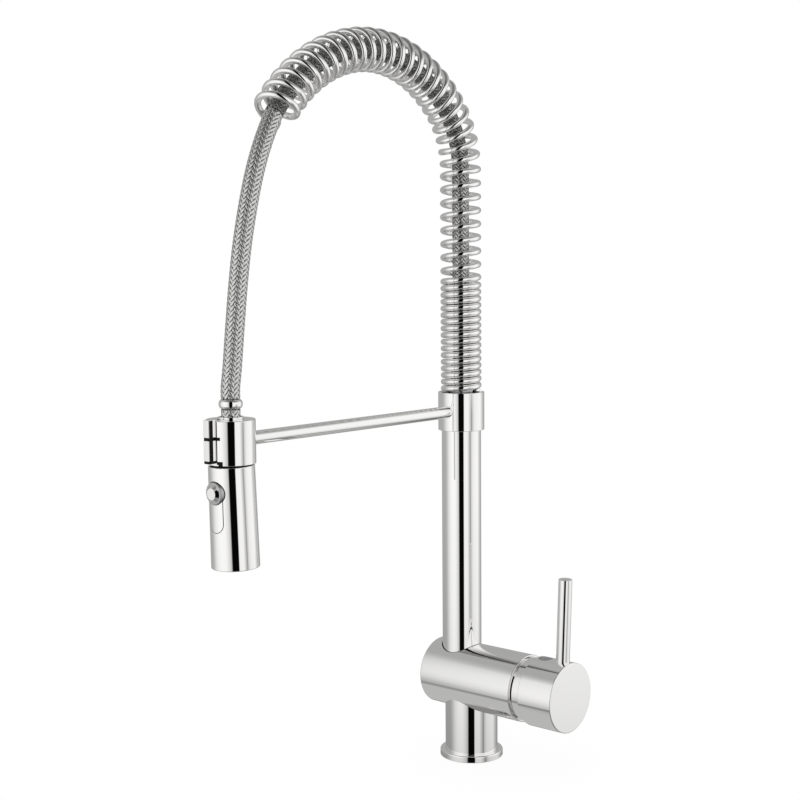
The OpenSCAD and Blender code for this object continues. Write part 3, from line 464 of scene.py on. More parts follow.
def braided_hose(name, line, finish):
    """The rubber hose with its braid along a line, as one mesh."""
    braid_nodes = braid_tree(name + "_braid", finish)
    length = line_length(line)
    guide = guide_curve(name + "_guide", line)
    parts = []
    for direction, side in ((1, "_right"), (-1, "_left")):
        mesh = baked(
            name + side, braid_nodes, strand_pair(length, direction, name + side),
            Guide=guide, Pairs=braid_strands // 2, Length=length)
        parts.append(bpy.data.objects.new(name + side, mesh))
        bpy.context.scene.collection.objects.link(parts[-1])
    bpy.data.objects.remove(guide)
    bm = bmesh.new()
    tube_radius = braid_radius - strand_thick
    count = max(2, round(length / tube_step))
    rings = []
    for place, sideways, up in line_frame(line, [length * i / count for i in range(count + 1)]):
        turns = [math.tau * k / tube_sides for k in range(tube_sides)]
        rings.append([
            bm.verts.new(place + tube_radius * (math.cos(t) * sideways + math.sin(t) * up)) for t in turns
        ])
    for a, b in zip(rings, rings[1:]):
        for k in range(tube_sides):
            m = (k + 1) % tube_sides
            bm.faces.new((a[k], a[m], b[m], b[k])).smooth = True
    bm.faces.new(rings[0])
    bm.faces.new(rings[-1])
    bmesh.ops.recalc_face_normals(bm, faces=bm.faces)
    mesh = bpy.data.meshes.new(name + "_tube")
    bm.to_mesh(mesh)
    bm.free()
    parts.append(new_piece(name + "_tube", mesh, hose_rubber))
    return join(name, parts)


drop_path = smooth_line(drop_line, 2.0 * mm)
hose_free = braided_hose("hose_free", drop_path, braid_steel)
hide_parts("hose_drop")
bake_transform(hose_free)
tuple(arch_tip)
line_length(drop_path)
[tuple(p) for p in smooth_line(drop_line, 12 * mm)]

# Braided hose inside the spring
# The same hose runs from the riser's nipple through the whole spring. A steel
# sleeve is crimped on its lower end. In the arch its braid is a darker copy,
# painted shade from the coils round it; below the arch it is painted lighter.
hose_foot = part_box("hose_crimp")[0].z
arch_steps = 180
arch_points = [
    arch_at(hose_foot - collar_top + (arch_length - hose_foot + collar_top) * i / arch_steps)[0]
    for i in range(arch_steps + 1)
]
hose_arch = braided_hose("hose_arch", arch_points, braid_in_painted_shade)
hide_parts("hose_in_spring")
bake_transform(hose_arch)

# Spring
# One round wire, close at the foot and open along the arch, wound to the
# right and plated with polished chrome, like every outer piece. It stands in
# the collar's seat and guides the hose over the arch.
coil_radius = 12.32 * mm
wire_radius = 2.18 * mm
coil_phase = math.radians(46)
curl_steps = 40
wire_sides = 16

# Nickel and chrome plate, polished bright, with the faintest wiping marks.
chrome, add, link, surface = shader("polished_chrome")
surface.inputs["Metallic"].default_value = 1.0
surface.inputs["Base Color"].default_value = (0.945, 0.94, 0.93, 1)
place = add.new("ShaderNodeTexCoord")
haze = add.new("ShaderNodeTexNoise")
haze.inputs["Scale"].default_value = 60
haze.inputs["Detail"].default_value = 4
link(place.outputs["Object"], haze.inputs["Vector"])
gloss = add.new("ShaderNodeMapRange")
gloss.inputs["From Min"].default_value = 0.35
gloss.inputs["From Max"].default_value = 0.75
gloss.inputs["To Min"].default_value = 0.015
gloss.inputs["To Max"].default_value = 0.035
link(haze.outputs["Fac"], gloss.inputs["Value"])
link(gloss.outputs[0], surface.inputs["Roughness"])


def spring_tree(finish):
    """Climbs round a guide curve point by point, then sweeps the round wire along these points."""
    tree, given, result = node_group(
        "spring_round_line", Guide="Object", Count="Int", Curls="Float", Foot="Float",
        Close_Curls="Float", Close_Pitch="Float", Open_Pitch="Float", Phase="Float",
        Coil_Radius="Float", Wire_Radius="Float")
    add = tree.nodes.new
    link = tree.links.new
    value, vector = calculator(tree)
    line = add("GeometryNodeMeshLine")
    link(given["Count"], line.inputs["Count"])
    line.inputs["Offset"].default_value = (0, 0, 0)
    index = add("GeometryNodeInputIndex").outputs[0]
    last = value("SUBTRACT", given["Count"], 1)
    inner = value("SUBTRACT", given["Count"], 3)
    step = value("MINIMUM", value("MAXIMUM", value("SUBTRACT", index, 1), 0), inner)
    turn = value("MULTIPLY", value("DIVIDE", step, inner), given["Curls"])
    past = value("MAXIMUM", value("SUBTRACT", turn, given["Close_Curls"]), 0)
    opening = value("MINIMUM", past, 1)
    half_square = value("MULTIPLY", value("MULTIPLY", opening, opening), 0.5)
    eased = value("ADD", half_square, value("SUBTRACT", past, opening))
    wider = value("SUBTRACT", given["Open_Pitch"], given["Close_Pitch"])
    climbed = value("ADD", value("MULTIPLY", given["Close_Pitch"], turn), value("MULTIPLY", wider, eased))
    centre, tangent, up = guide_at(tree, given, "LENGTH", value("ADD", climbed, given["Foot"]))
    angle = value("ADD", value("MULTIPLY", turn, math.tau), given["Phase"])
    cosine = value("COSINE", angle)
    sine = value("SINE", angle)
    out = vector("ADD", vector("SCALE", (1, 0, 0), cosine), vector("SCALE", up, sine))
    round_way = vector("ADD", vector("SCALE", (-1, 0, 0), sine), vector("SCALE", up, cosine))
    on_coil = vector("ADD", centre, vector("SCALE", out, given["Coil_Radius"]))
    side = value("SUBTRACT", value("COMPARE", index, last, 0.1), value("COMPARE", index, 0, 0.1))
    straight = value("MULTIPLY", value("MULTIPLY", given["Wire_Radius"], 2), side)
    place = add("GeometryNodeSetPosition")
    link(line.outputs[0], place.inputs["Geometry"])
    link(vector("ADD", on_coil, vector("SCALE", round_way, straight)), place.inputs["Position"])
    path = add("GeometryNodeMeshToCurve")
    link(place.outputs[0], path.inputs[0])
    profile = add("GeometryNodeCurvePrimitiveCircle")
    profile.inputs["Resolution"].default_value = wire_sides
    link(given["Wire_Radius"], profile.inputs["Radius"])
    wire = add("GeometryNodeCurveToMesh")
    link(path.outputs[0], wire.inputs["Curve"])
    link(profile.outputs[0], wire.inputs["Profile Curve"])
    wire.inputs["Fill Caps"].default_value = True
    smooth = add("GeometryNodeSetShadeSmooth")
    link(wire.outputs[0], smooth.inputs["Geometry"])
    return finished(tree, smooth.outputs[0], finish, result)


arch_guide = guide_curve("arch_guide", [arch_at(i * mm)[0] for i in range(round(arch_length / mm) + 3)])
coil_mesh = baked(
    "spring_coil", spring_tree(chrome), bpy.data.meshes.new("spring_start"),
    Guide=arch_guide, Count=round(curls * curl_steps) + 3, Curls=curls, Foot=spring_foot_rise,
    Close_Curls=close_curls, Close_Pitch=close_pitch, Open_Pitch=open_pitch, Phase=coil_phase,
    Coil_Radius=coil_radius, Wire_Radius=wire_radius)
bpy.data.objects.remove(arch_guide)
coil_mesh.set_sharp_from_angle(angle=math.radians(35))
spring_coil = new_piece("spring_coil", coil_mesh)
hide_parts("spring")
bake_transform(spring_coil)

# Base ring
# A turned chrome flange that slips over the pedestal and covers the gasket
# and the edge of the hole in the deck.
turn_sides = 192
wide_sides = 256
small_sides = 128
pin_sides = 96
hole_sides = 64
sharp_edge = math.radians(28)


def rounded(corners, steps=6):
    """An outline whose corners (radius, height, rounding) become arcs, with points just past each arc."""
    line = []
    count = len(corners)
    for i, (x, y, r) in enumerate(corners):
        here = Vector((x, y))
        if r == 0:
            line.append(here)
            continue
        back = (Vector(corners[i - 1][:2]) - here).normalized()
        on = (Vector(corners[(i + 1) % count][:2]) - here).normalized()
        half = back.angle(on) / 2
        reach = r / math.tan(half)
        centre = here + (back + on).normalized() * (r / math.sin(half))
        start = here + back * reach - centre
        end = here + on * reach - centre
        line.append(here + back * (reach + 0.1 * r))
        for k in range(steps + 1):
            line.append(centre + r * start.slerp(end, k / steps).normalized())
        line.append(here + on * (reach + 0.1 * r))
    return [(p.x, p.y) for p in line]


def lathe(bm, outline, place, sides=turn_sides, closed=True):
    """Turns an outline of (radius, height) in mm about Z and puts it in its place."""
    rings = []
    for radius, height in outline:
        if radius < 1e-6:
            rings.append([bm.verts.new(place @ Vector((0, 0, height * mm)))])
            continue
        turns = [math.tau * k / sides for k in range(sides)]
        rings.append([
            bm.verts.new(place @ Vector((radius * mm * math.cos(t), radius * mm * math.sin(t), height * mm)))
            for t in turns
        ])
    pairs = list(zip(rings, rings[1:]))
    if closed and len(rings[0]) > 1 and len(rings[-1]) > 1:
        pairs.append((rings[-1], rings[0]))
    for a, b in pairs:
        for k in range(sides):
            m = (k + 1) % sides
            if len(a) == 1 and len(b) == 1:
                continue
            if len(a) == 1:
                bm.faces.new((a[0], b[m], b[k]))
            elif len(b) == 1:
                bm.faces.new((a[k], a[m], b[0]))
            else:
                bm.faces.new((a[k], a[m], b[m], b[k]))
    return bm


def as_mesh(bm, name):
    """A mesh with outward normals, shaded smooth apart from its sharp edges."""
    bmesh.ops.recalc_face_normals(bm, faces=bm.faces)
    for face in bm.faces:
        face.smooth = True
    mesh = bpy.data.meshes.new(name)
    bm.to_mesh(mesh)
    bm.free()
    mesh.set_sharp_from_angle(angle=sharp_edge)
    return mesh


def turned(name, outline, place, finish, sides=turn_sides):
    """A piece turned from an outline, in one finish."""
    return new_piece(name, as_mesh(lathe(bmesh.new(), outline, place, sides), name), finish)


def at(x, y, z):
    """A place in mm."""
    return Matrix.Translation(Vector((x, y, z)) * mm)


pedestal_r = 18.75
flange_r = 22.5
flange_foot = 0.3
flange_top = 4.9
base_flange = turned("base_flange", rounded([
    (pedestal_r + 0.05, flange_foot, 0), (flange_r, flange_foot, 0.3), (flange_r, flange_top, 1.0),
    (pedestal_r + 0.05, flange_top, 0.2),
]), Matrix(), chrome)
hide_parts("base_ring")
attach(base_flange, "base")

# Valve body
# One chromed brass casting: the upright pedestal and the lying barrel, with
# the riser's socket in its top and the cartridge's pocket at its right end.
barrel_z = 57.9
barrel_r = 23.55
barrel_left = 28.7
barrel_right = 51.4
pocket_r = 17.55
nut_r = 19.65
riser_r = 14
riser_gap = 0.6
socket_floor = 66.05
screw_z = 57.95
screw_hole_r = 2.52
along_x = at(0, 0, barrel_z) @ Matrix.Rotation(math.pi / 2, 4, "Y")


def cut(piece, tool, operation="DIFFERENCE"):
    """Applies an exact boolean of a tool object, which is then removed."""
    modifier = piece.modifiers.new("cut", "BOOLEAN")
    modifier.operation = operation
    modifier.solver = "EXACT"
    modifier.object = tool
    bpy.context.view_layer.update()
    shaped = piece.evaluated_get(bpy.context.evaluated_depsgraph_get())
    mesh = bpy.data.meshes.new_from_object(shaped)
    piece.modifiers.clear()
    name = piece.data.name
    old = piece.data
    piece.data = mesh
    bpy.data.meshes.remove(old)
    mesh.name = name
    bpy.data.objects.remove(tool)
    for face in mesh.polygons:
        face.use_smooth = True
    mesh.set_sharp_from_angle(angle=sharp_edge)
    return piece


body_shell = turned("body_shell", rounded([
    (0, -barrel_left, 0), (barrel_r, -barrel_left, 0.9), (barrel_r, barrel_right, 0.8),
    (nut_r, barrel_right, 0.1), (nut_r, 41.5, 0), (pocket_r, 41.5, 0), (pocket_r, 14, 0), (0, 14, 0),
]), along_x, chrome, wide_sides)
pedestal = turned("pedestal", rounded([
    (0, 0, 0), (pedestal_r, 0, 0), (pedestal_r, barrel_z - 6, 0), (0, barrel_z - 6, 0),
]), Matrix(), chrome, wide_sides)
cut(body_shell, pedestal, "UNION")


def drill(r, start, end, place, sides=hole_sides):
    """A tool that cuts a round hole between two heights of its place."""
    return turned("drill", [(0, start), (r, start), (r, end), (0, end)], place, chrome, sides)


cut(body_shell, drill(riser_r + riser_gap, socket_floor, 90, at(spout_x, 0, 0), wide_sides))
# The holes for the fixing stud and the two supply hoses come from below, the
# lock screw's from behind.
for x, y, r, depth in ((-9, 0, 3.4, 20), (6, -8.5, 4.5, 18), (6, 8.5, 4.5, 18)):
    cut(body_shell, drill(r, -2, depth, at(x, y, 0)))
to_front = Matrix.Rotation(math.pi / 2, 4, "X")
cut(body_shell, drill(screw_hole_r, -30, -14, at(spout_x, 0, screw_z) @ to_front))
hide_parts("valve_body")
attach(body_shell, "base")

# Neck ring
# A chromed ring with a dark groove beside the barrel, screwed in over the
# cartridge's nut. The handle's skirt runs over its outer edge.
neck_r = 22.2
groove_r = 20.8
neck_bore = 18.4
neck_left = 49.3
groove_right = 53.0
neck_right = 60.7
neck = turned("neck", rounded([
    (neck_bore, neck_left, 0), (19.6, neck_left, 0), (19.6, barrel_right, 0), (groove_r, barrel_right, 0),
    (groove_r, groove_right, 0.2), (neck_r, groove_right, 0.25), (neck_r, neck_right, 0.8),
    (neck_bore, neck_right, 0.3),
]), along_x, chrome)
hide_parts("neck_ring")
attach(neck, "base")

# Handle
# A turned chrome cap with a thin skirt, a flat end face and a tall pin as its
# lever. A small domed plug in its top covers the grub screw.
cap_r = 24.17
cap_bore = 22.92
cap_left = 59.7
cap_right = 87.0
cap_floor = 84.0
handle_shell = turned("handle_shell", rounded([
    (cap_bore, cap_left, 0.15), (cap_r, cap_left, 0.3), (cap_r, cap_right, 0.7), (0, cap_right, 0),
    (0, cap_floor, 0), (cap_bore, cap_floor, 0.5),
], 5), along_x, chrome, wide_sides)
lever_x = 80.1
lever_lean = math.radians(1.9)
lever_r = 4.7
lever_length = 67.94
lever_place = at(lever_x, 0, barrel_z + 14) @ Matrix.Rotation(lever_lean, 4, "Y")
plug_x = 66.0
plug_r = 4.75
plug_place = at(plug_x, 0, barrel_z)
cut(handle_shell, drill(lever_r + 0.08, 5, 20, lever_place, pin_sides))
cut(handle_shell, drill(plug_r + 0.05, 19, 30, plug_place, pin_sides))
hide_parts("handle_cap")
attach(handle_shell, "handle")

lever = turned("lever", rounded([
    (0, 0, 0), (lever_r, 0, 0.3), (lever_r, lever_length, 0.45), (0, lever_length, 0),
]), lever_place, chrome, pin_sides)
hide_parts("lever_pin")
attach(lever, "handle")

plug_dome = 0.95
dome_steps = 8
plug_outline = [(0, 21.2), (plug_r, 21.2), (plug_r, 23.5)]
for k in range(1, dome_steps + 1):
    bend = math.pi / 2 * k / dome_steps
    plug_outline.append((plug_r * math.cos(bend) if k < dome_steps else 0, 23.6 + plug_dome * math.sin(bend)))


def plain_finish(name, colour, roughness, metallic=0.0):
    """A material with one colour and one gloss."""
    made, add, link, surface = shader(name)
    surface.inputs["Metallic"].default_value = metallic
    surface.inputs["Roughness"].default_value = roughness
    surface.inputs["Base Color"].default_value = (*colour, 1)
    return made


satin_grey = plain_finish("satin_grey", (0.19, 0.19, 0.2), 0.3)
index_cap = turned("index_cap", plug_outline, plug_place, satin_grey, hole_sides)
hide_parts("index_plug")
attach(index_cap, "handle")

# Riser and collar
# A bright 28 mm tube that turns in the body, and the collar on its top, which
# carries the arm and holds the spring in a shallow seat.
riser_bore = 12.6
riser_foot = 67.1
riser_top = 252
riser_place = at(spout_x, 0, 0)
riser = turned("riser", rounded([
    (riser_bore, riser_foot, 0.3), (riser_r, riser_foot, 0.5),
    (riser_r, riser_top, 0.2), (riser_bore, riser_top, 0.2),
]), riser_place, chrome, wide_sides)
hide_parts("riser_tube")
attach(riser, "spout")
collar_r = 16.4
collar_bore = 14.02
collar_foot = 235.7
collar_rim = 262.7
seat_r = 15.2
seat_z = 260.7
nipple_bore = 9.02
collar_shell = turned("collar_shell", rounded([
    (collar_bore, collar_foot, 0.1), (collar_r, collar_foot, 0.35), (collar_r, collar_rim, 0.4),
    (seat_r, collar_rim, 0.2), (seat_r, seat_z, 0.2), (nipple_bore, seat_z, 0.1), (nipple_bore, riser_top, 0),
    (collar_bore, riser_top, 0),
]), riser_place, chrome, wide_sides)
arm_z = 249.2
arm_hole_r = 4.3
arm_axis = at(spout_x, 0, arm_z) @ to_front
cut(collar_shell, drill(arm_hole_r, 10, 20, arm_axis))
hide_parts("collar")
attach(collar_shell, "spout")

# Arm
# A plain round rod of chromed brass from the collar to the dock, pressed into
# a hole in each.
arm_r = 4.25
arm_length = 191.0
arm = turned("arm", rounded([(0, 0, 0), (arm_r, 0, 0.1), (arm_r, arm_length, 0.1), (0, arm_length, 0)]),
             at(spout_x, -14.05, arm_z) @ to_front, chrome, pin_sides)
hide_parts("arm_rod")
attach(arm, "spout")

# Dock
# A thin chromed sleeve with an upright rib down its front, over a black
# plastic liner. The liner shows in a slot, in two notches in the sleeve's
# foot, as the rib's own foot and as a strip along each of the rib's sides.
dock_y = -218.9
dock_foot = 235.5
dock_h = 26.9
dock_r = 15.1
dock_bore = 13.8
dock_roof = 1.4
mouth_r = 8.2
dock_place = at(spout_x, dock_y, dock_foot)
dock = turned("dock", rounded([(0, 0, 0), (dock_r, 0, 0.3), (dock_r, dock_h, 0.5), (0, dock_h, 0)]),
              dock_place, chrome, wide_sides)
rib_half = 2.45
rib_in = 14.4
rib_out = 19.8
rib_foot = 3.2
rib_top = dock_h + 0.8
groove_foot = 2.7
groove_top = rib_top - 0.15


def prism(name, foot, top):
    """A solid between two outlines with the same number of points."""
    bm = bmesh.new()
    rows = [[bm.verts.new(point) for point in outline] for outline in (foot, top)]
    count = len(foot)
    for k in range(count):
        m = (k + 1) % count
        bm.faces.new((rows[0][k], rows[0][m], rows[1][m], rows[1][k]))
    bm.faces.new(rows[0])
    bm.faces.new(rows[1])
    return new_piece(name, as_mesh(bm, name), chrome)


rib_plan = rounded([
    (-rib_half, -rib_in, 0), (-rib_half, -rib_out, 0.5), (rib_half, -rib_out, 0.5), (rib_half, -rib_in, 0),
])
rib = prism("rib", *[
    [dock_place @ (Vector((x, y, z)) * mm) for x, y in rib_plan] for z in (rib_foot, rib_top)
])
cut(dock, rib, "UNION")
cut(dock, drill(dock_bore, -5, dock_h - dock_roof, dock_place, small_sides))
cut(dock, drill(mouth_r, 5, dock_h + 5, dock_place, small_sides))
cut(dock, drill(arm_hole_r, 190, 215, arm_axis))


def dock_box(low, high):
    """A box between two corners in mm, measured from the middle of the dock's foot."""
    bm = bmesh.new()
    bmesh.ops.create_cube(bm, size=1)
    low, high = [Vector((x + spout_x, y + dock_y, z + dock_foot)) * mm for x, y, z in (low, high)]
    for v in bm.verts:
        v.co = Vector(((low[i] if v.co[i] < 0 else high[i]) for i in range(3)))
    return new_piece("tool", as_mesh(bm, "tool"), chrome)


# The slot across the front, the window under the rib, the two grooves in the
# rib's sides and the two notches in the foot.
for low, high in (
    ((-20, -30, 15.3), (20, -13.6, 17.3)),
    ((-1.85, -15.6, 1.5), (1.85, -8.6, rib_foot)),
    ((rib_half - 0.82, -19.32, groove_foot), (rib_half + 0.2, -16.38, groove_top)),
    ((-rib_half - 0.2, -19.32, groove_foot), (0.82 - rib_half, -16.38, groove_top)),
    ((3.4, -16.1, -1), (7.2, -9.1, 2.7)),
    ((-7.2, -16.1, -1), (-3.4, -9.1, 2.7)),
):
    cut(dock, dock_box(low, high))
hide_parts("dock_sleeve")
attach(dock, "spout")

black_plastic, add, link, surface = shader("black_plastic")
surface.inputs["Roughness"].default_value = 0.6
surface.inputs["Specular IOR Level"].default_value = 0.2
grain = add.new("ShaderNodeTexNoise")
grain.inputs["Scale"].default_value = 1500
bump = add.new("ShaderNodeBump")
bump.inputs["Strength"].default_value = 0.15
bump.inputs["Distance"].default_value = 0.00005
surface.inputs["Base Color"].default_value = (0.004, 0.004, 0.0045, 1)
link(grain.outputs["Fac"], bump.inputs["Height"])
link(bump.outputs[0], surface.inputs["Normal"])

# Rib trim
# The two strips of black plastic along the rib's sides are part of the liner.
# They go on above its rails, up to the rib's top.
strip_half = 0.4
strip_foot = 26.45
strip_top = rib_top - 0.17


def repaint(piece, finish):
    """Gives a piece one finish in place of the ones it has."""
    piece.data.materials.clear()
    piece.data.materials.append(finish)


rib_trim, other_strip = [
    dock_box((x - strip_half, -19.3, strip_foot), (x + strip_half, -16.4, strip_top))
    for x in (rib_half - strip_half, strip_half - rib_half)
]
cut(rib_trim, other_strip, "UNION")
rib_trim.name = "rib_trim"
repaint(rib_trim, black_plastic)
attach(rib_trim, "spout")

# Hose end
# A crimped chrome bead on the hose, and the short braided tail below it that
# goes down through the dock's top into the spray head. A thin chrome ferrule
# keeps the tail in the middle of the dock's mouth.
bead_r = 7.3
bead_h = 6.4
bead_foot = 268.3
bead = turned("bead", rounded([(0, 0, 0), (bead_r, 0, 2.9), (bead_r, bead_h, 2.9), (0, bead_h, 0)], 10),
              at(spout_x, hose_y, bead_foot), chrome, small_sides)
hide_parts("hose_bead")
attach(bead, "hose_end")
ferrule_r = 7.8
ferrule_bore = 6.45
ferrule = turned("hose_ferrule", rounded([
    (ferrule_bore, -3, 0), (ferrule_r, -3, 0.3), (ferrule_r, 1.5, 0.25), (ferrule_bore, 1.5, 0.1),
]), at(spout_x, hose_y, dock_foot + dock_h), chrome, small_sides)
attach(ferrule, "hose_end")
tail_line = [
    Vector((spout_x, y, z)) * mm for y, z in ((hose_y, bead_foot), (hose_y, bead_foot - 10), (-218.95, 250))
]
hose_stub = braided_hose("hose_stub", smooth_line(tail_line, 1.5 * mm), braid_steel)
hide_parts("hose_tail")
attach(hose_stub, "hose_end")

# Spray head
# A slightly flared chrome shell over a black neck, with a round diverter
# button in a bezel and a long flush inlay below it.
head_r = 14.2
head_foot_r = 14.9
head_length = 63
neck_hole_r = 11.42
head_top = 234.6
head_lean = math.radians(1.85)
head_place = at(spout_x, dock_y, head_top) @ Matrix.Rotation(head_lean, 4, "X")
head = turned("head", rounded([
    (neck_hole_r, 0, 0.1), (head_r, 0, 0.6), (head_foot_r, -head_length, 0.5), (13.5, -head_length, 0.3),
    (12.8, -1.4, 0), (neck_hole_r, -1.4, 0),
]), head_place, chrome, wide_sides)
button_z = -15.6
bezel_hole_r = 7.4
button_place = head_place @ at(0, 0, button_z) @ to_front
cut(head, drill(bezel_hole_r, 8, 20, button_place, small_sides))


def pill(r, foot, thick, deep):
    """A tall plate with a round foot below the button, from a depth in the head's face to a height off it."""
    arc_steps = 24
    outline = [(-r, button_z), (-r, foot + r)]
    for k in range(1, arc_steps):
        turn = math.pi * k / arc_steps
        outline.append((-r * math.cos(turn), foot + r - r * math.sin(turn)))
    outline += [(r, foot + r), (r, button_z)]
    plate = prism("plate", *[
        [head_place @ (Vector((x, y, z)) * mm) for x, z in outline] for y in (-8, -20)
    ])
    face = turned("face", [
        (head_r - deep, 1), (head_r + thick, 1),
        (head_foot_r + thick, -head_length - 1), (head_foot_r - deep, -head_length - 1),
    ], head_place, chrome, wide_sides)
    return cut(plate, face, "INTERSECT")


inlay_half = 5.9
inlay_foot = -40.0
inlay_deep = 0.8
cut(head, pill(inlay_half, inlay_foot, 1, inlay_deep))
inlay_seal = pill(inlay_half - 0.02, inlay_foot + 0.02, -0.3, inlay_deep - 0.02)
inlay_seal.name = "inlay_seal"
repaint(inlay_seal, black_plastic)
cut(inlay_seal, drill(bezel_hole_r + 0.01, 8, 20, button_place, small_sides))
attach(inlay_seal, "head")
bezel_r = 6.9
# A thin black ring down in the gap round the bezel is painted shade: a dark piece that stands in for the
# gap's shadow.
gap_shade_in = bezel_r + 0.02
gap_shade_out = bezel_hole_r - 0.02
bezel_seal = turned("bezel_seal", [(gap_shade_in, 11), (gap_shade_out, 11), (gap_shade_out, 12.45), (gap_shade_in, 12.45)],
                    button_place, black_plastic, small_sides)
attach(bezel_seal, "head")
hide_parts("head_shell")
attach(head, "head")

# The bezel is plated too, but only brushed.
satin_chrome = chrome.copy()
satin_chrome.name = "satin_chrome"
satin_gloss = satin_chrome.node_tree.nodes["Map Range"].inputs
satin_gloss["To Min"].default_value = 0.32
satin_gloss["To Max"].default_value = 0.42
satin_chrome.node_tree.nodes["Principled BSDF"].inputs["Base Color"].default_value = (0.52, 0.52, 0.525, 1)
bezel_bore = 5.35
bezel = turned("bezel", rounded([
    (bezel_bore, 12.1, 0), (bezel_r, 12.1, 0.1), (bezel_r, 15.5, 0.8), (bezel_bore, 15.5, 0.15),
]), button_place, satin_chrome, small_sides)
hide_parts("button_bezel")
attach(bezel, "head")
knob_r = 5.3
knob_face_r = 3.6
knob_out = 17.3
knob = turned("knob", rounded([
    (0, 13.1, 0), (knob_r, 13.1, 0), (knob_r, 15.4, 0.05), (4.95, 15.75, 0.1), (knob_face_r, knob_out, 0.25),
    (0, knob_out, 0),
]), button_place, chrome, small_sides)
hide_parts("button")
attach(knob, "push")

# Inner parts
# The pieces that are hidden, or only seen from below, keep their solid shape
# and get the finish of their own material.
rubber = rubber_finish("black_rubber", 0.7, 400, (0.02, 0.02, 0.02), (0.045, 0.045, 0.045))
silicone = plain_finish("grey_silicone", (0.06, 0.062, 0.065), 0.55)
turned_steel = plain_finish("turned_steel", (0.62, 0.63, 0.65), 0.25, 1.0)
turned_brass = plain_finish("turned_brass", (0.75, 0.58, 0.28), 0.25, 1.0)
white_plastic = plain_finish("white_plastic", (0.75, 0.75, 0.72), 0.4)
ceramic = plain_finish("ceramic", (0.85, 0.84, 0.8), 0.3)
finishes = {
    "chrome": chrome, "spring_steel": chrome, "braid": braid_steel, "steel": turned_steel,
    "brass": turned_brass, "black_plastic": black_plastic, "white_plastic": white_plastic,
    "ceramic": ceramic, "rubber": rubber, "grey_cap": satin_grey, "silicone": silicone,
}
for part in frame["record"]["subparts"]:
    repaint(frame["nodes"][part["node"]], finishes[part["material_slot"]])

# Studio
# A pale floor, a white surround and a black card behind the camera, whose
# narrow reflection runs down every upright tube.
world = bpy.data.worlds.new("studio")
bpy.context.scene.world = world
world.use_nodes = True
add = world.node_tree.nodes
link = world.node_tree.links.new
add.clear()


def ramp(scale, low, high, stops):
    """Brightness along a scale, as stops of (place, brightness), in the tree that add and link work on."""
    scaled = add.new("ShaderNodeMapRange")
    scaled.inputs["From Min"].default_value = low
    scaled.inputs["From Max"].default_value = high
    link(scale, scaled.inputs["Value"])
    band = add.new("ShaderNodeValToRGB")
    while len(band.color_ramp.elements) < len(stops):
        band.color_ramp.elements.new(0.5)
    for element, (stop, bright) in zip(band.color_ramp.elements, stops):
        element.position = (stop - low) / (high - low)
        element.color = (bright, bright, bright, 1)
    link(scaled.outputs[0], band.inputs[0])
    return band.outputs["Color"]


direction = add.new("ShaderNodeTexCoord")
parts = add.new("ShaderNodeSeparateXYZ")
link(direction.outputs["Generated"], parts.inputs[0])
up_and_down = ramp(parts.outputs["Z"], -1, 1, [(-0.3, 0.22), (0.3, 0.18)])
rays = add.new("ShaderNodeLightPath")
plain = add.new("ShaderNodeMix")
plain.data_type = "RGBA"
plain.inputs["A"].default_value = (1, 1, 1, 1)
link(rays.outputs["Is Glossy Ray"], plain.inputs["Factor"])
link(up_and_down, plain.inputs["B"])
glow = add.new("ShaderNodeBackground")
link(plain.outputs["Result"], glow.inputs["Color"])
glow.inputs["Strength"].default_value = 1.0
sky = add.new("ShaderNodeOutputWorld")
link(glow.outputs[0], sky.inputs["Surface"])

surround_r = 850
surround_foot = -1500
surround_top = 2500
surround = new_piece("surround", as_mesh(lathe(
    bmesh.new(), [(surround_r, surround_foot), (surround_r, surround_top)], riser_place, 180, closed=False),
    "surround"))
walls, add, link, surface = shader("surround_walls")
add.remove(surface)
value, vector = calculator(walls.node_tree)
place = add.new("ShaderNodeTexCoord")
parts = add.new("ShaderNodeSeparateXYZ")
link(place.outputs["Object"], parts.inputs[0])
camera_side = math.atan2(camera_place.x, -camera_place.y)
turned_x = value(
    "ADD", value("MULTIPLY", parts.outputs["X"], math.cos(camera_side)),
    value("MULTIPLY", parts.outputs["Y"], math.sin(camera_side)))
turned_y = value(
    "SUBTRACT", value("MULTIPLY", parts.outputs["X"], math.sin(camera_side)),
    value("MULTIPLY", parts.outputs["Y"], math.cos(camera_side)))
azimuth = value("MULTIPLY", value("ARCTAN2", turned_x, turned_y), 180 / math.pi)


def around(stops):
    """Brightness round the walls, by degrees to the right of the camera's side."""
    return ramp(azimuth, -180, 180, stops)


def upright(stops):
    """Brightness up the walls, by height in metres."""
    return ramp(parts.outputs["Z"], surround_foot * mm, surround_top * mm, stops)


round_walls = around([
    (-180, 0.40), (-105, 0.43), (-92, 0.57), (-77, 0.83), (-62, 0.97), (-50, 1.01), (-36, 0.98), (-25, 0.80),
    (-16, 0.55), (-13.5, 0.002), (12, 0.002), (14, 0.93), (34, 0.96), (46, 0.58), (53, 0.30), (58, 0.64),
    (70, 0.89), (90, 0.96), (107, 0.98), (118, 0.80), (131, 0.55), (150, 0.40),
])
heights = upright([
    (-0.40, 0.62), (-0.285, 0.72), (-0.20, 0.84), (-0.09, 0.93), (0.06, 1.0), (0.70, 1.0),
])
ceiling = around([
    (-180, 0.42), (-95, 0.40), (-62, 0.2), (-15, 0.2), (-13.5, 0.002), (12, 0.002), (13.5, 0.2), (62, 0.2),
    (100, 0.36), (180, 0.42),
])
ground = around([(-180, 0.49), (-85, 0.49), (-55, 0.26), (55, 0.26), (90, 0.45), (180, 0.49)])
horizon = upright([(-0.58, 1.0), (-0.51, 0.6)])
right_wall = around([(14, 0.0), (14.5, 0.93), (95, 0.93), (105, 0.0)])
upper_share = upright([(0.16, 0.0), (0.22, 1.0)])
ceiling_share = upright([(0.70, 0.0), (1.15, 1.0)])
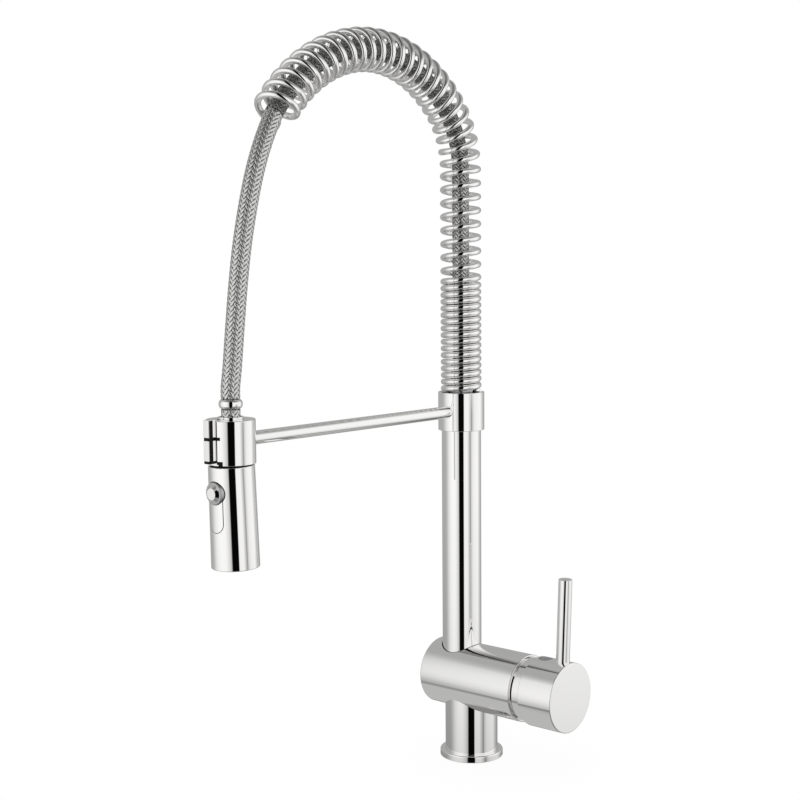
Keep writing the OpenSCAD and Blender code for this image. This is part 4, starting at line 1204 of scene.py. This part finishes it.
ground_share = upright([(-0.43, 1.0), (-0.42, 0.0)])


def mixed(kind, factor, first, second):
    """Mixes two colours in the tree that add and link work on."""
    step = add.new("ShaderNodeMix")
    step.data_type = "RGBA"
    step.blend_type = kind
    if isinstance(factor, float):
        step.inputs["Factor"].default_value = factor
    else:
        link(factor, step.inputs["Factor"])
    link(first, step.inputs["A"])
    link(second, step.inputs["B"])
    return step.outputs["Result"]


tone = mixed("LIGHTEN", upper_share, round_walls, right_wall)
tone = mixed("MULTIPLY", 1.0, tone, heights)
tone = mixed("MIX", ceiling_share, tone, ceiling)
tone = mixed("MIX", ground_share, tone, mixed("MULTIPLY", 1.0, ground, horizon))
shine = add.new("ShaderNodeEmission")
link(tone, shine.inputs["Color"])
link(shine.outputs[0], add["Material Output"].inputs["Surface"])
surround.data.materials.append(walls)
surround.visible_camera = False
surround.visible_diffuse = False
surround.visible_transmission = False
surround.visible_shadow = False

bm = bmesh.new()
bmesh.ops.create_grid(bm, x_segments=1, y_segments=1, size=6)
floor = new_piece("floor", as_mesh(bm, "floor"))
floor_paint, add, link, surface = shader("floor_paint")
surface.inputs["Roughness"].default_value = 0.9
surface.inputs["Specular IOR Level"].default_value = 0.0
surface.inputs["Base Color"].default_value = (0.97, 0.97, 0.97, 1)
lit = add.new("ShaderNodeEmission")
seen = add.new("ShaderNodeLightPath")
share = add.new("ShaderNodeMath")
share.operation = "MULTIPLY"
share.inputs[1].default_value = 0.93
link(seen.outputs["Is Camera Ray"], share.inputs[0])
blend = add.new("ShaderNodeMixShader")
link(share.outputs[0], blend.inputs["Fac"])
link(surface.outputs[0], blend.inputs[1])
link(lit.outputs[0], blend.inputs[2])
link(blend.outputs[0], add["Material Output"].inputs["Surface"])
floor.data.materials.append(floor_paint)
floor.visible_glossy = False

lamp_data = bpy.data.lights.new("key", "AREA")
lamp_data.energy = 4
lamp_data.size = 1.2
key = bpy.data.objects.new("key", lamp_data)
key.location = (0.3, -0.9, 1.6)
key.rotation_euler = (math.radians(30), 0, 0)
key.visible_glossy = False
bpy.context.scene.collection.objects.link(key)

bpy.context.scene.view_settings.view_transform = "Standard"
